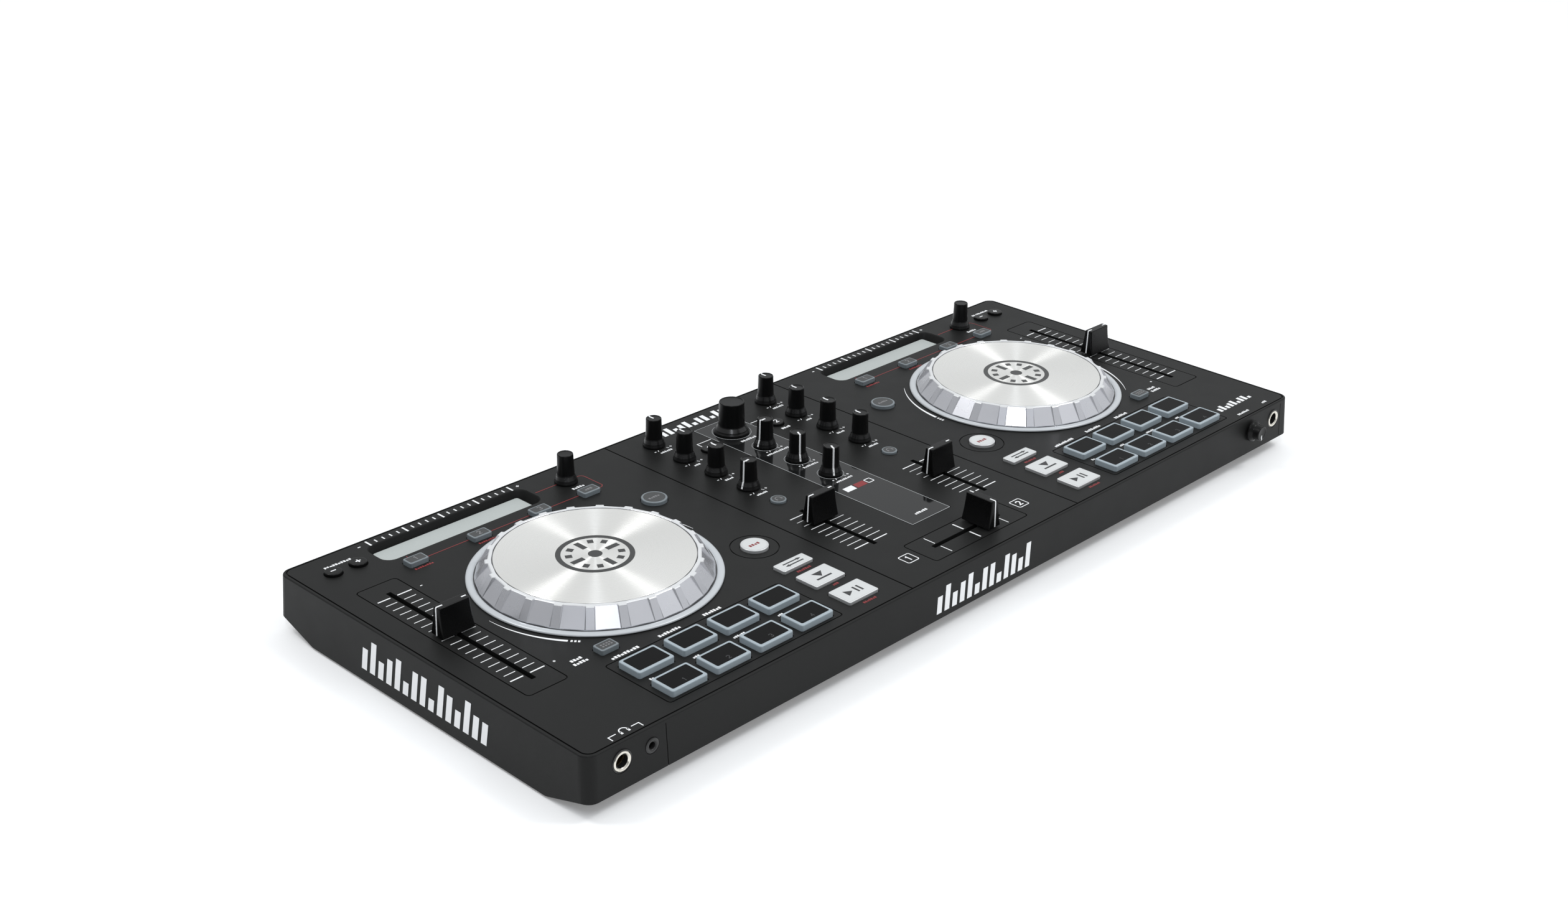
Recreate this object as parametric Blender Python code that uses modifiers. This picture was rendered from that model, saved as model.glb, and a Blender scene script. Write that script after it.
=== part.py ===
"""Two-deck DJ controller, modelled as the separate pieces it comes apart into.

Metres, +Z up. The origin is the centre of the footprint, on the surface that the feet stand on.
Heights in the tables below are measured from the top face of the control panel, in millimetres,
and plan positions from the middle of the case, +X to the right and +Y to the back.
"""
import math

import bmesh
import bpy
from mathutils import Matrix, Vector

MM = 0.001
GAP = 0.3                    # clearance between neighbouring pieces

# Case
PANEL_Z = 31.5               # top face of the panel above the table
CASE_Y = 3.3                 # middle of the case behind the origin
HALF_X = 271.5               # panel half width at its top edge
HALF_Y = 113.2               # panel half depth at its top edge
FLARE = 1.5                  # how far the walls lean out on their way down
WALL_DROP = 22.7             # height of the front and back walls
CASE_DROP = 30.0             # height of the side walls
CHIN_Y = 92.0                # half depth of the flat underside
WALL = 2.5
CORNER_R = 6.0
EDGE_R = 0.8
FOOT_R = 7.0
FOOT_H = 1.5
POST_R = 3.5

# Grooves in the panel
GROOVE_W = 0.8
GROOVE_D = 0.7
RIM_GROOVE_X = 269.6
RIM_GROOVE_Y = 111.6
MIXER_X = 65.7               # grooves between the decks and the mixer

# Decks
DECK_X = 162.7
JOG_X = 163.0
JOG_Y = 6.2
JOG_R = 62.3
PITCH_X = 246.0
PITCH_SLOT_Y = 5.4           # middle of the slot
PITCH_SLOT = 108.0
PITCH_TRAVEL = 49.1          # half of the fader's travel
PITCH_AT = 9.0               # where the cap stands
BEND_Y = 93.6
BEND_SPREAD = 7.1
SIDE_KEY_X = 89.3
SHIFT_Y = -28.3
SYNC_Y = -54.9
CUE_Y = -73.2
PLAY_Y = -94.7
SCRATCH_Y = 45.2
PAD_MODE_AT = (207.0, -51.6)
FX_Y = 75.4
FX_OFFSETS = (-55.4, -16.8, 21.9)
TAP_OFFSET = 54.7
BEATS_Y = 93.6
STRIP_OFFSET = -16.2
STRIP_Y = 95.2
STRIP_SIZE = (97.0, 18.8)
STRIP_DEPTH = 4.6
PAD_Y = -85.0
PAD_PITCH = (26.9, 21.4)
PAD_SIZE = (21.3, 14.5)
PAD_H = 3.0

# Mixer
COLUMN_X = 43.6
EQ_Y = (95.4, 70.9, 46.3)
FILTER_Y = 21.8
BROWSE_Y = 79.0
CENTRE_Y = (52.8, 28.1, 3.4)
LOAD_X = 26.0
LOAD_Y = 69.7
MONITOR_Y = -0.2
CHANNEL_SLOT_Y = -42.2
CHANNEL_SLOT = 52.0
CHANNEL_TRAVEL = 22.25
CHANNEL_AT = (-29.8, -35.0)
CROSS_Y = -90.7
CROSS_SLOT = 52.0
CROSS_TRAVEL = 22.5
CROSS_AT = 11.2
WINDOW_SIZE = (30.0, 162.0)
WINDOW_Y = 13.2
WINDOW_T = 0.8

# Front and back faces
JACK_Z = -9.2
BIG_JACK_X = -252.8
SMALL_JACK_X = -235.9
MIC_JACK_X = 254.5
MIC_KNOB_X = 231.0
MIC_KNOB_REACH = 121.3       # front of the mic knob ahead of the case's middle
USB_X = 20.0
PHONO_X = 72.0
PHONO_PITCH = 14.0
PHONO_Z = -11.4
PHONO_POCKET = (30.0, 14.0)
SOCKET_Z = -8.9

# Circuit board
BOARD_TOP = -14.4
BOARD_T = 1.6
BOARD_HALF_X = 262.0
BOARD_FRONT = -97.0
BOARD_NOTCH = (220.0, -84.0)   # clear of the jack boards outside this x and in front of this y
BOARD_BACK = 100.0
POT = (9.5, 11.0, 6.4)
SWITCH = (6.0, 6.0, 2.1)
FADER_BODY_H = 6.0

# Buttons: half width, half depth, corner or radius, height above the panel
FX_KEY = (5.6, 3.5, 0.8, 2.3)
SYNC_KEY = (10.2, 4.1, 0.6, 1.5)
CUE_KEY = (10.2, 7.2, 0.6, 1.5)
PAD_MODE_KEY = (5.2, 3.5, 0.8, 2.3)
SHIFT_KEY = (7.2, 1.5)
SCRATCH_KEY = (6.9, 1.8)
BEND_KEY = (4.4, 1.5)
MONITOR_KEY = (4.3, 1.1)
LOAD_KEY = (4.5, 1.4)
KEY_CLEAR = 0.35
SWITCH_TOP = BOARD_TOP + SWITCH[2]
KEY_STEM_Z = SWITCH_TOP + 1.6

# Knobs: height, grip radius at the top, flange radius
KNOB = (16.6, 4.35, 6.3)
BROWSE_KNOB = (18.5, 7.1, 10.0)
TURNED_STEPS = 14
HOLE_STEPS = 16
JOG_STEPS = 48

DECKS = (("left", -1), ("right", 1))
PARTS = "dj_controller"


def collection(name):
    made = bpy.data.collections.new(name)
    bpy.context.scene.collection.children.link(made)
    return made


def clear_scene():
    for obj in list(bpy.data.objects):
        bpy.data.objects.remove(obj, do_unlink=True)


clear_scene()
parts = collection(PARTS)
cutters = collection(PARTS + "_cutters")


def finish_colour(name, colour, roughness, metallic=0.0):
    material = bpy.data.materials.new(name)
    material.use_nodes = True
    shader = material.node_tree.nodes["Principled BSDF"]
    shader.inputs["Base Color"].default_value = (*colour, 1.0)
    shader.inputs["Roughness"].default_value = roughness
    shader.inputs["Metallic"].default_value = metallic
    return material


CASE_BLACK = ("satin_case", (0.032, 0.032, 0.034), 0.55)
KNOB_BLACK = ("gloss_black", (0.012, 0.012, 0.012), 0.22)
SILVER_KEY = ("silver_key", (0.72, 0.73, 0.74), 0.35)
SMOKE_KEY = ("smoke_silicone", (0.12, 0.13, 0.14), 0.5)
PAD_GREY = ("pad_silicone", (0.25, 0.29, 0.31), 0.5)
JOG_SILVER = ("jog_silver", (0.62, 0.64, 0.66), 0.3, 0.9)
STRIP_PALE = ("touch_strip", (0.7, 0.73, 0.73), 0.4)
WINDOW_GLOSS = ("smoked_window", (0.03, 0.03, 0.032), 0.1)
BOARD_GREEN = ("circuit_board", (0.02, 0.10, 0.05), 0.5)
SOCKET_BLACK = ("socket_black", (0.02, 0.02, 0.02), 0.4)


def place(name, mesh, finish, at=(0.0, 0.0, 0.0), group=None):
    """Put a mesh made in millimetres into the scene, at a point measured as in the tables."""
    mesh.transform(Matrix.Scale(MM, 4))
    obj = bpy.data.objects.new(name, mesh)
    obj.location = Vector((at[0], at[1] + CASE_Y, at[2] + PANEL_Z)) * MM
    (group or parts).objects.link(obj)
    if finish:
        mesh.materials.append(finish_colour(name + "_" + finish[0], *finish[1:]))
    if group is cutters:
        obj.hide_render = True
        obj.display_type = "WIRE"
    return obj


def to_mesh(name, bm):
    mesh = bpy.data.meshes.new(name)
    bm.to_mesh(mesh)
    bm.free()
    return mesh


def add_box(bm, centre, size):
    made = bmesh.ops.create_cube(bm, size=1.0)
    bmesh.ops.scale(bm, vec=size, verts=made["verts"])
    bmesh.ops.translate(bm, vec=centre, verts=made["verts"])


def add_cylinder(bm, centre, radius, length, along="z", steps=HOLE_STEPS):
    turn = {"z": Matrix(), "y": Matrix.Rotation(math.radians(90), 4, "X")}[along]
    bmesh.ops.create_cone(
        bm, cap_ends=True, segments=steps, radius1=radius, radius2=radius, depth=length,
        matrix=Matrix.Translation(centre) @ turn)


def rounded_outline(half_x, half_y, radius, steps):
    """Corner points of a rounded rectangle, anticlockwise."""
    points = []
    corners = ((1, 1, 0), (-1, 1, 90), (-1, -1, 180), (1, -1, 270))
    for sign_x, sign_y, start in corners:
        for step in range(steps + 1):
            angle = math.radians(start + 90 * step / steps)
            points.append((sign_x * (half_x - radius) + radius * math.cos(angle),
                           sign_y * (half_y - radius) + radius * math.sin(angle)))
    return points


def add_stack(bm, sections, centre=(0.0, 0.0, 0.0), steps=1):
    """Skin over rounded rectangles (half_x, half_y, radius, z), the highest first."""
    rings = []
    for half_x, half_y, radius, z in sections:
        outline = rounded_outline(half_x, half_y, radius, steps)
        rings.append([bm.verts.new((centre[0] + x, centre[1] + y, centre[2] + z)) for x, y in outline])
    count = len(rings[0])
    bm.faces.new(rings[0])
    bm.faces.new(list(reversed(rings[-1])))
    for upper, lower in zip(rings, rings[1:]):
        for i in range(count):
            j = (i + 1) % count
            bm.faces.new((upper[j], upper[i], lower[i], lower[j]))


def stack(name, sections, finish, at, steps=1):
    bm = bmesh.new()
    add_stack(bm, sections, steps=steps)
    return place(name, to_mesh(name, bm), finish, at)


def turned(name, profile, finish, at, steps=TURNED_STEPS, axis="z"):
    """Turn a profile of (radius, z), listed from the top down, about the piece's own axis."""
    mesh = bpy.data.meshes.new(name)
    points = [(radius, 0.0, z) for radius, z in profile]
    mesh.from_pydata(points, [(i, i + 1) for i in range(len(points) - 1)], [])
    obj = place(name, mesh, finish, at)
    screw = obj.modifiers.new("turn", "SCREW")
    screw.axis = "Z"
    screw.steps = steps
    screw.render_steps = steps
    screw.use_merge_vertices = True
    screw.merge_threshold = 0.00001
    screw.use_smooth_shade = False
    if axis == "front":
        obj.rotation_euler = (math.radians(90), 0.0, 0.0)
    return obj


def extruded(name, points, half_depth, finish, at):
    """Extrude a closed outline of (y, z) points along X."""
    curve = bpy.data.curves.new(name, "CURVE")
    curve.dimensions = "2D"
    curve.fill_mode = "BOTH"
    curve.extrude = half_depth
    spline = curve.splines.new("POLY")
    spline.points.add(len(points) - 1)
    for point, (y, z) in zip(spline.points, points):
        point.co = (y, z, 0.0, 1.0)
    spline.use_cyclic_u = True
    guide = bpy.data.objects.new(name + "_outline", curve)
    cutters.objects.link(guide)
    bpy.context.view_layer.update()
    evaluated = guide.evaluated_get(bpy.context.evaluated_depsgraph_get())
    mesh = bpy.data.meshes.new_from_object(evaluated)
    bpy.data.objects.remove(guide, do_unlink=True)
    mesh.transform(Matrix(((0, 0, 1, 0), (1, 0, 0, 0), (0, 1, 0, 0), (0, 0, 0, 1))))
    bm = bmesh.new()
    bm.from_mesh(mesh)
    bmesh.ops.remove_doubles(bm, verts=bm.verts, dist=0.001)
    bmesh.ops.dissolve_limit(bm, angle_limit=0.001, verts=bm.verts, edges=bm.edges)
    bmesh.ops.recalc_face_normals(bm, faces=bm.faces)
    mesh = to_mesh(name, bm)
    return place(name, mesh, finish, at)


def combine(target, operation, tool):
    modifier = target.modifiers.new(operation.lower() + "_" + tool.name, "BOOLEAN")
    modifier.operation = operation
    modifier.solver = "EXACT"
    modifier.object = tool


def tool(name, build):
    """A cutter or an addition made of separate simple solids."""
    bm = bmesh.new()
    build(bm)
    return place(name, to_mesh(name, bm), None, group=cutters)


# ---------------------------------------------------------------- layout tables

def knob_places():
    """Name, x, y and height of each vertical knob."""
    rows = []
    for side, sign in DECKS:
        rows.append(("beats_knob_" + side, sign * DECK_X + TAP_OFFSET, BEATS_Y, "encoder"))
    for channel, sign in ((1, -1), (2, 1)):
        for band, y in zip(("treble", "mid", "bass"), EQ_Y):
            rows.append((f"{band}_knob_{channel}", sign * COLUMN_X, y, "knob"))
        rows.append((f"filter_knob_{channel}", sign * COLUMN_X, FILTER_Y, "knob"))
    for name, y in zip(("master_gain_knob", "cue_mix_knob", "cue_gain_knob"), CENTRE_Y):
        rows.append((name, 0.0, y, "knob"))
    rows.append(("browse_knob", 0.0, BROWSE_Y, "browse"))
    return rows


def square_key_places():
    """Name, x, y, size and finish of each rectangular button."""
    rows = []
    for side, sign in DECKS:
        deck = sign * DECK_X
        for number, offset in enumerate(FX_OFFSETS, 1):
            rows.append((f"fx{number}_button_{side}", deck + offset, FX_Y, FX_KEY, SMOKE_KEY))
        rows.append(("tap_button_" + side, deck + TAP_OFFSET, FX_Y, FX_KEY, SMOKE_KEY))
        x, y = PAD_MODE_AT
        rows.append(("pad_mode_button_" + side, sign * x, y, PAD_MODE_KEY, SMOKE_KEY))
        rows.append(("sync_button_" + side, sign * SIDE_KEY_X, SYNC_Y, SYNC_KEY, SILVER_KEY))
        rows.append(("cue_button_" + side, sign * SIDE_KEY_X, CUE_Y, CUE_KEY, SILVER_KEY))
        rows.append(("play_button_" + side, sign * SIDE_KEY_X, PLAY_Y, CUE_KEY, SILVER_KEY))
    return rows


def round_key_places():
    """Name, x, y, size and finish of each round button."""
    rows = []
    for side, sign in DECKS:
        rows.append(("shift_button_" + side, sign * SIDE_KEY_X, SHIFT_Y, SHIFT_KEY, SILVER_KEY))
        rows.append(("scratch_button_" + side, sign * SIDE_KEY_X, SCRATCH_Y, SCRATCH_KEY, SMOKE_KEY))
        for label, step in (("minus", -1), ("plus", 1)):
            x = sign * PITCH_X + step * BEND_SPREAD
            rows.append((f"pitch_bend_{label}_{side}", x, BEND_Y, BEND_KEY, KNOB_BLACK))
    for channel, sign in ((1, -1), (2, 1)):
        rows.append((f"load_button_{channel}", sign * LOAD_X, LOAD_Y, LOAD_KEY, KNOB_BLACK))
        rows.append((f"headphone_cue_{channel}", sign * COLUMN_X, MONITOR_Y, MONITOR_KEY, SMOKE_KEY))
    return rows


# ---------------------------------------------------------------- case

def case_profile(inset=0.0):
    """The case's section in the YZ plane, from the panel's back edge round to the front."""
    low = -WALL_DROP
    return [(HALF_Y - inset, -inset), (-HALF_Y + inset, -inset),
            (-HALF_Y - FLARE + inset, low), (-CHIN_Y + inset, -CASE_DROP + inset),
            (CHIN_Y - inset, -CASE_DROP + inset), (HALF_Y + FLARE - inset, low)]


def lean_sides(mesh, half_x, drop):
    """Move each end outwards in proportion to its depth below the panel."""
    for vertex in mesh.vertices:
        down = min(-vertex.co.z, drop * MM) / (drop * MM)
        vertex.co.x += math.copysign(FLARE * MM * down, vertex.co.x)


def round_corners(mesh, radius, steps, top_radius):
    bm = bmesh.new()
    bm.from_mesh(mesh)
    upright = []
    for edge in bm.edges:
        run = edge.verts[0].co - edge.verts[1].co
        on_end = all(abs(v.co.x) > 0.2 for v in edge.verts)
        if on_end and abs(run.z) > 0.005 and edge.verts[0].co.x * edge.verts[1].co.x > 0:
            upright.append(edge)
    bmesh.ops.bevel(bm, geom=upright, offset=radius * MM, segments=steps, profile=0.5,
                    affect="EDGES")
    rim = [e for e in bm.edges if all(abs(v.co.z) < 1e-6 for v in e.verts)]
    bmesh.ops.bevel(bm, geom=rim, offset=top_radius * MM, segments=2, profile=0.5,
                    affect="EDGES")
    bm.to_mesh(mesh)
    bm.free()


def wall_hollow(bm):
    """Inside of the case, open underneath, with the front and back walls ending at the seam."""
    inner_x = HALF_X - WALL
    inner_y = HALF_Y - WALL
    add_stack(bm, [(inner_x, inner_y, 3.0, -WALL),
                   (inner_x + FLARE, inner_y + FLARE, 3.0, -WALL_DROP),
                   (inner_x + FLARE + 0.1, HALF_Y + 20.0, 3.0, -WALL_DROP),
                   (inner_x + FLARE + 0.1, HALF_Y + 20.0, 3.0, -CASE_DROP - 5.0)], steps=2)


def undercarriage(bm):
    """Additions below the panel: the touch strip tubs and the jog wheel bearings."""
    half_x = STRIP_SIZE[0] / 2 + 2.0
    half_y = STRIP_SIZE[1] / 2 + 2.0
    for _, sign in DECKS:
        x = sign * DECK_X + STRIP_OFFSET
        add_stack(bm, [(half_x, half_y, 7.0, -WALL + 0.6), (half_x, half_y, 7.0, -STRIP_DEPTH - 1.5)],
                  centre=(x, STRIP_Y, 0.0), steps=3)
        add_cylinder(bm, (sign * JOG_X, JOG_Y, -5.2), 10.0, 6.4)


def panel_openings(bm):
    for _, x, y, kind in knob_places():
        add_cylinder(bm, (x, y, 0.0), 4.2 if kind == "browse" else 3.6, 8.0, steps=12)
    for _, x, y, size, _ in square_key_places():
        clear = (size[0] + KEY_CLEAR, size[1] + KEY_CLEAR, size[2] + KEY_CLEAR)
        add_stack(bm, [(*clear, 3.0), (*clear, -4.0)], centre=(x, y, 0.0))
    for _, x, y, size, _ in round_key_places():
        add_cylinder(bm, (x, y, 0.0), size[0] + KEY_CLEAR, 8.0)
    for _, sign in DECKS:
        add_cylinder(bm, (sign * JOG_X, JOG_Y, -4.0), 6.4, 16.0)
        add_box(bm, (sign * PITCH_X, PITCH_SLOT_Y, 0.0), (2.7, PITCH_SLOT, 8.0))
        x = sign * DECK_X + STRIP_OFFSET
        size = (STRIP_SIZE[0] / 2, STRIP_SIZE[1] / 2, 6.0)
        add_stack(bm, [(*size, 2.0), (*size, -STRIP_DEPTH)], centre=(x, STRIP_Y, 0.0), steps=3)
    for sign in (-1, 1):
        add_box(bm, (sign * COLUMN_X, CHANNEL_SLOT_Y, 0.0), (2.7, CHANNEL_SLOT, 8.0))
    add_box(bm, (0.0, CROSS_Y, 0.0), (CROSS_SLOT, 2.9, 8.0))


def pad_openings(bm):
    for _, x, y in pad_places():
        size = (PAD_SIZE[0] / 2 + KEY_CLEAR, PAD_SIZE[1] / 2 + KEY_CLEAR, 0.9)
        add_stack(bm, [(*size, 3.0), (*size, -4.0)], centre=(x, y, 0.0))


def window_pocket(bm):
    size = (WINDOW_SIZE[0] / 2 + GAP, WINDOW_SIZE[1] / 2 + GAP, 0.6)
    add_stack(bm, [(*size, 2.0), (*size, -WINDOW_T - GAP)], centre=(0.0, WINDOW_Y, 0.0))


def pad_places():
    rows = []
    for side, sign in DECKS:
        for row in (0, 1):
            for column in range(4):
                rows.append((side, sign * DECK_X + (column - 1.5) * PAD_PITCH[0],
                             PAD_Y + (0.5 - row) * PAD_PITCH[1]))
    return rows


def frame_groove(bm, centre, half_x, half_y, radius, width=0.6, steps=1):
    """A shallow groove that follows a rounded rectangle."""
    loops = []
    for grow, z in ((width / 2, 2.0), (width / 2, -GROOVE_D), (-width / 2, -GROOVE_D), (-width / 2, 2.0)):
        outline = rounded_outline(half_x + grow, half_y + grow, radius + grow, steps)
        loops.append([bm.verts.new((centre[0] + x, centre[1] + y, z)) for x, y in outline])
    count = len(loops[0])
    for a, b in zip(loops, loops[1:] + loops[:1]):
        for i in range(count):
            j = (i + 1) % count
            bm.faces.new((a[j], a[i], b[i], b[j]))


def panel_grooves(bm):
    frame_groove(bm, (0.0, 0.0), RIM_GROOVE_X, RIM_GROOVE_Y, 4.5, GROOVE_W, 3)
    for _, sign in DECKS:
        frame_groove(bm, (sign * PITCH_X, PITCH_SLOT_Y), 11.4, 64.1, 2.2)
        frame_groove(bm, (sign * DECK_X, PAD_Y + 1.0), 54.8, 21.3, 1.6)
        frame_groove(bm, (sign * SIDE_KEY_X, SHIFT_Y), 12.3, 12.3, 12.0, steps=4)
    frame_groove(bm, (0.0, CROSS_Y), 36.3, 11.1, 2.0)


def mixer_grooves(bm):
    for sign in (-1, 1):
        add_box(bm, (sign * MIXER_X, 0.0, 0.3), (GROOVE_W, 2 * RIM_GROOVE_Y - GROOVE_W - 0.4, 2.0))


def wall_openings(bm):
    front = -HALF_Y - 1.0
    for x, radius in ((BIG_JACK_X, 5.6), (SMALL_JACK_X, 3.9), (MIC_JACK_X, 5.6), (MIC_KNOB_X, 3.7)):
        add_cylinder(bm, (x, front, JACK_Z), radius, 10.0, along="y")
    back = HALF_Y + 1.0
    add_box(bm, (USB_X, back, SOCKET_Z), (13.0, 10.0, 11.6))
    add_box(bm, (PHONO_X, back, PHONO_Z), (PHONO_POCKET[0] + 3.8, 10.0, PHONO_POCKET[1] + 3.8))


def top_case():
    shell = extruded("top_case", case_profile(), HALF_X, CASE_BLACK, (0.0, 0.0, 0.0))
    lean_sides(shell.data, HALF_X, WALL_DROP)
    round_corners(shell.data, CORNER_R, 4, EDGE_R)
    combine(shell, "DIFFERENCE", tool("case_hollow", wall_hollow))
    combine(shell, "UNION", tool("undercarriage", undercarriage))
    combine(shell, "DIFFERENCE", tool("window_pocket", window_pocket))
    combine(shell, "DIFFERENCE", tool("panel_openings", panel_openings))
    combine(shell, "DIFFERENCE", tool("pad_openings", pad_openings))
    combine(shell, "DIFFERENCE", tool("panel_grooves", panel_grooves))
    combine(shell, "DIFFERENCE", tool("mixer_grooves", mixer_grooves))
    combine(shell, "DIFFERENCE", tool("wall_openings", wall_openings))


def board_posts(bm):
    low = -CASE_DROP + WALL - 0.5
    high = BOARD_TOP - BOARD_T - GAP
    for x in (-230.0, -75.0, 75.0, 230.0):
        for y in (-72.0, 60.0):
            add_cylinder(bm, (x, y, (low + high) / 2), POST_R, high - low, steps=8)


def feet(bm):
    for x in (-245.0, 0.0, 245.0):
        for y in (-80.0, 80.0):
            add_cylinder(bm, (x, y, -CASE_DROP - FOOT_H / 2 + 0.25), FOOT_R, FOOT_H + 0.5, steps=12)


def bottom_case():
    """A tray that closes the case between its side walls."""
    rise = CASE_DROP - WALL_DROP - GAP
    run = (HALF_Y + FLARE - CHIN_Y) * rise / (CASE_DROP - WALL_DROP)
    top = -CASE_DROP + rise
    outer = [(-CHIN_Y - run, top), (-CHIN_Y, -CASE_DROP), (CHIN_Y, -CASE_DROP), (CHIN_Y + run, top)]
    slope = math.hypot(rise, run) / rise * WALL
    inner = [(CHIN_Y + run - slope, top), (CHIN_Y - 0.4, -CASE_DROP + WALL),
             (-CHIN_Y + 0.4, -CASE_DROP + WALL), (-CHIN_Y - run + slope, top)]
    half_x = HALF_X - WALL + FLARE - GAP
    tray = extruded("bottom_case", outer + inner, half_x, CASE_BLACK, (0.0, 0.0, 0.0))
    combine(tray, "UNION", tool("board_posts", board_posts))
    combine(tray, "UNION", tool("feet", feet))


# ---------------------------------------------------------------- inside

def board_parts(bm):
    """Potentiometers, switches and fader bodies that stand on the board."""
    seat = BOARD_TOP - 0.2
    for _, x, y, _ in knob_places():
        add_box(bm, (x, y, seat + POT[2] / 2), POT)
    for _, x, y, _, _ in square_key_places() + round_key_places():
        add_box(bm, (x, y, seat + SWITCH[2] / 2), SWITCH)
    body = seat + FADER_BODY_H / 2
    for _, sign in DECKS:
        add_box(bm, (sign * (PITCH_X - 1.0), PITCH_SLOT_Y, body), (9.0, PITCH_SLOT + 12.0, FADER_BODY_H))
    for sign in (-1, 1):
        add_box(bm, (sign * COLUMN_X, CHANNEL_SLOT_Y, body), (12.0, CHANNEL_SLOT + 12.0, FADER_BODY_H))
    add_box(bm, (0.0, CROSS_Y, body), (CROSS_SLOT + 12.0, 9.0, FADER_BODY_H))
    socket_h = SOCKET_Z + 5.4 - seat
    add_box(bm, (USB_X, 104.2, seat + socket_h / 2), (12.2, 17.6, socket_h))
    add_box(bm, (PHONO_X, 105.4, PHONO_Z), (PHONO_POCKET[0] + 3.0, 15.2, PHONO_POCKET[1] + 3.0))


def board_notches(bm):
    x, y = BOARD_NOTCH
    for sign in (-1, 1):
        add_box(bm, (sign * (x + 50.0), y - 50.0, BOARD_TOP), (100.0, 100.0, 20.0))


def board_pockets(bm):
    add_box(bm, (USB_X, 110.0, SOCKET_Z), (8.4, 16.0, 7.8))
    add_box(bm, (PHONO_X, 113.0, PHONO_Z), (PHONO_POCKET[0], 16.0, PHONO_POCKET[1]))


def phono_shells(bm):
    for sign in (-0.5, 0.5):
        add_cylinder(bm, (PHONO_X + sign * PHONO_PITCH, 108.7, PHONO_Z), 4.15, 8.2, along="y", steps=12)


def phono_bores(bm):
    for sign in (-0.5, 0.5):
        add_cylinder(bm, (PHONO_X + sign * PHONO_PITCH, 112.0, PHONO_Z), 1.7, 8.0, along="y", steps=8)


def main_board():
    bm = bmesh.new()
    middle = (BOARD_FRONT + BOARD_BACK) / 2
    size = (2 * BOARD_HALF_X, BOARD_BACK - BOARD_FRONT, BOARD_T)
    add_box(bm, (0.0, middle, BOARD_TOP - BOARD_T / 2), size)
    board = place("main_board", to_mesh("main_board", bm), BOARD_GREEN)
    combine(board, "DIFFERENCE", tool("board_notches", board_notches))
    combine(board, "UNION", tool("board_parts", board_parts))
    combine(board, "DIFFERENCE", tool("board_pockets", board_pockets))
    combine(board, "UNION", tool("phono_shells", phono_shells))
    combine(board, "DIFFERENCE", tool("phono_bores", phono_bores))


def jack_board(name, jacks, boxes):
    """A small board with its sockets: each jack is x, collar radius, bore radius and body size."""
    bm = bmesh.new()
    low = JACK_Z - 5.8
    left = min(x - size[0] / 2 for x, _, _, size in jacks) - 1.0
    right = max(x + size[0] / 2 for x, _, _, size in jacks) + 1.0
    for x, _, size in boxes:
        left = min(left, x - size[0] / 2 - 1.0)
    add_box(bm, ((left + right) / 2, -98.0, low - 0.8), (right - left, 24.0, 1.6))
    obj = place(name, to_mesh(name, bm), SOCKET_BLACK)

    def bodies(bm):
        for x, _, _, size in jacks:
            add_box(bm, (x, -HALF_Y + 3.4 + size[1] / 2, low - 0.2 + size[2] / 2), size)
        for x, _, size in boxes:
            add_box(bm, (x, -HALF_Y + 3.4 + size[1] / 2, low - 0.2 + size[2] / 2), size)

    def collars(bm):
        for x, collar, _, _ in jacks:
            add_cylinder(bm, (x, -HALF_Y + 1.7, JACK_Z), collar, 4.4, along="y")

    def bores(bm):
        for x, _, bore, size in jacks:
            add_cylinder(bm, (x, -HALF_Y + 3.4, JACK_Z), bore, 2 * size[1] - 14.0, along="y")

    combine(obj, "UNION", tool(name + "_bodies", bodies))
    combine(obj, "UNION", tool(name + "_collars", collars))
    combine(obj, "DIFFERENCE", tool(name + "_bores", bores))


def mixer_window():
    window = stack("mixer_window",
                   [(WINDOW_SIZE[0] / 2, WINDOW_SIZE[1] / 2, 0.5, 0.0),
                    (WINDOW_SIZE[0] / 2, WINDOW_SIZE[1] / 2, 0.5, -WINDOW_T)],
                   WINDOW_GLOSS, (0.0, WINDOW_Y, 0.0))

    def holes(bm):
        for _, x, y, kind in knob_places():
            if x == 0.0:
                add_cylinder(bm, (x, y, 0.0), 4.6 if kind == "browse" else 4.0, 4.0, steps=12)

    combine(window, "DIFFERENCE", tool("window_holes", holes))


def touch_strips():
    half = (45.6, 7.9, 1.5)
    for side, sign in DECKS:
        at = (sign * DECK_X + STRIP_OFFSET - 0.6, STRIP_Y - 0.4, -STRIP_DEPTH + GAP)
        stack("touch_strip_" + side, [(*half, 0.9), (*half, 0.0)], STRIP_PALE, at, steps=2)


# ---------------------------------------------------------------- moving pieces

def jog_wheels():
    """Platter, rim, shaft and encoder disc; the disc under the bearing keeps the wheel in."""
    profile = [(0.0, 10.5), (51.8, 10.5), (52.4, 9.9), (57.8, 1.6), (61.9, 1.5), (62.3, 1.1),
               (62.3, 0.4), (55.0, 0.4), (49.5, 7.6), (6.0, 7.6), (6.0, -8.8), (18.0, -8.8),
               (18.0, -9.6), (0.0, -9.6)]
    for side, sign in DECKS:
        turned("jog_wheel_" + side, profile, JOG_SILVER, (sign * JOG_X, JOG_Y, 0.0), JOG_STEPS)


def knob_profile(height, radius, flange, shaft_end):
    return [(0.0, height), (radius, height), (radius + 0.3, 4.6), (flange, 1.6), (flange, 0.4),
            (3.0, 0.4), (3.0, shaft_end), (0.0, shaft_end)]


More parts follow.
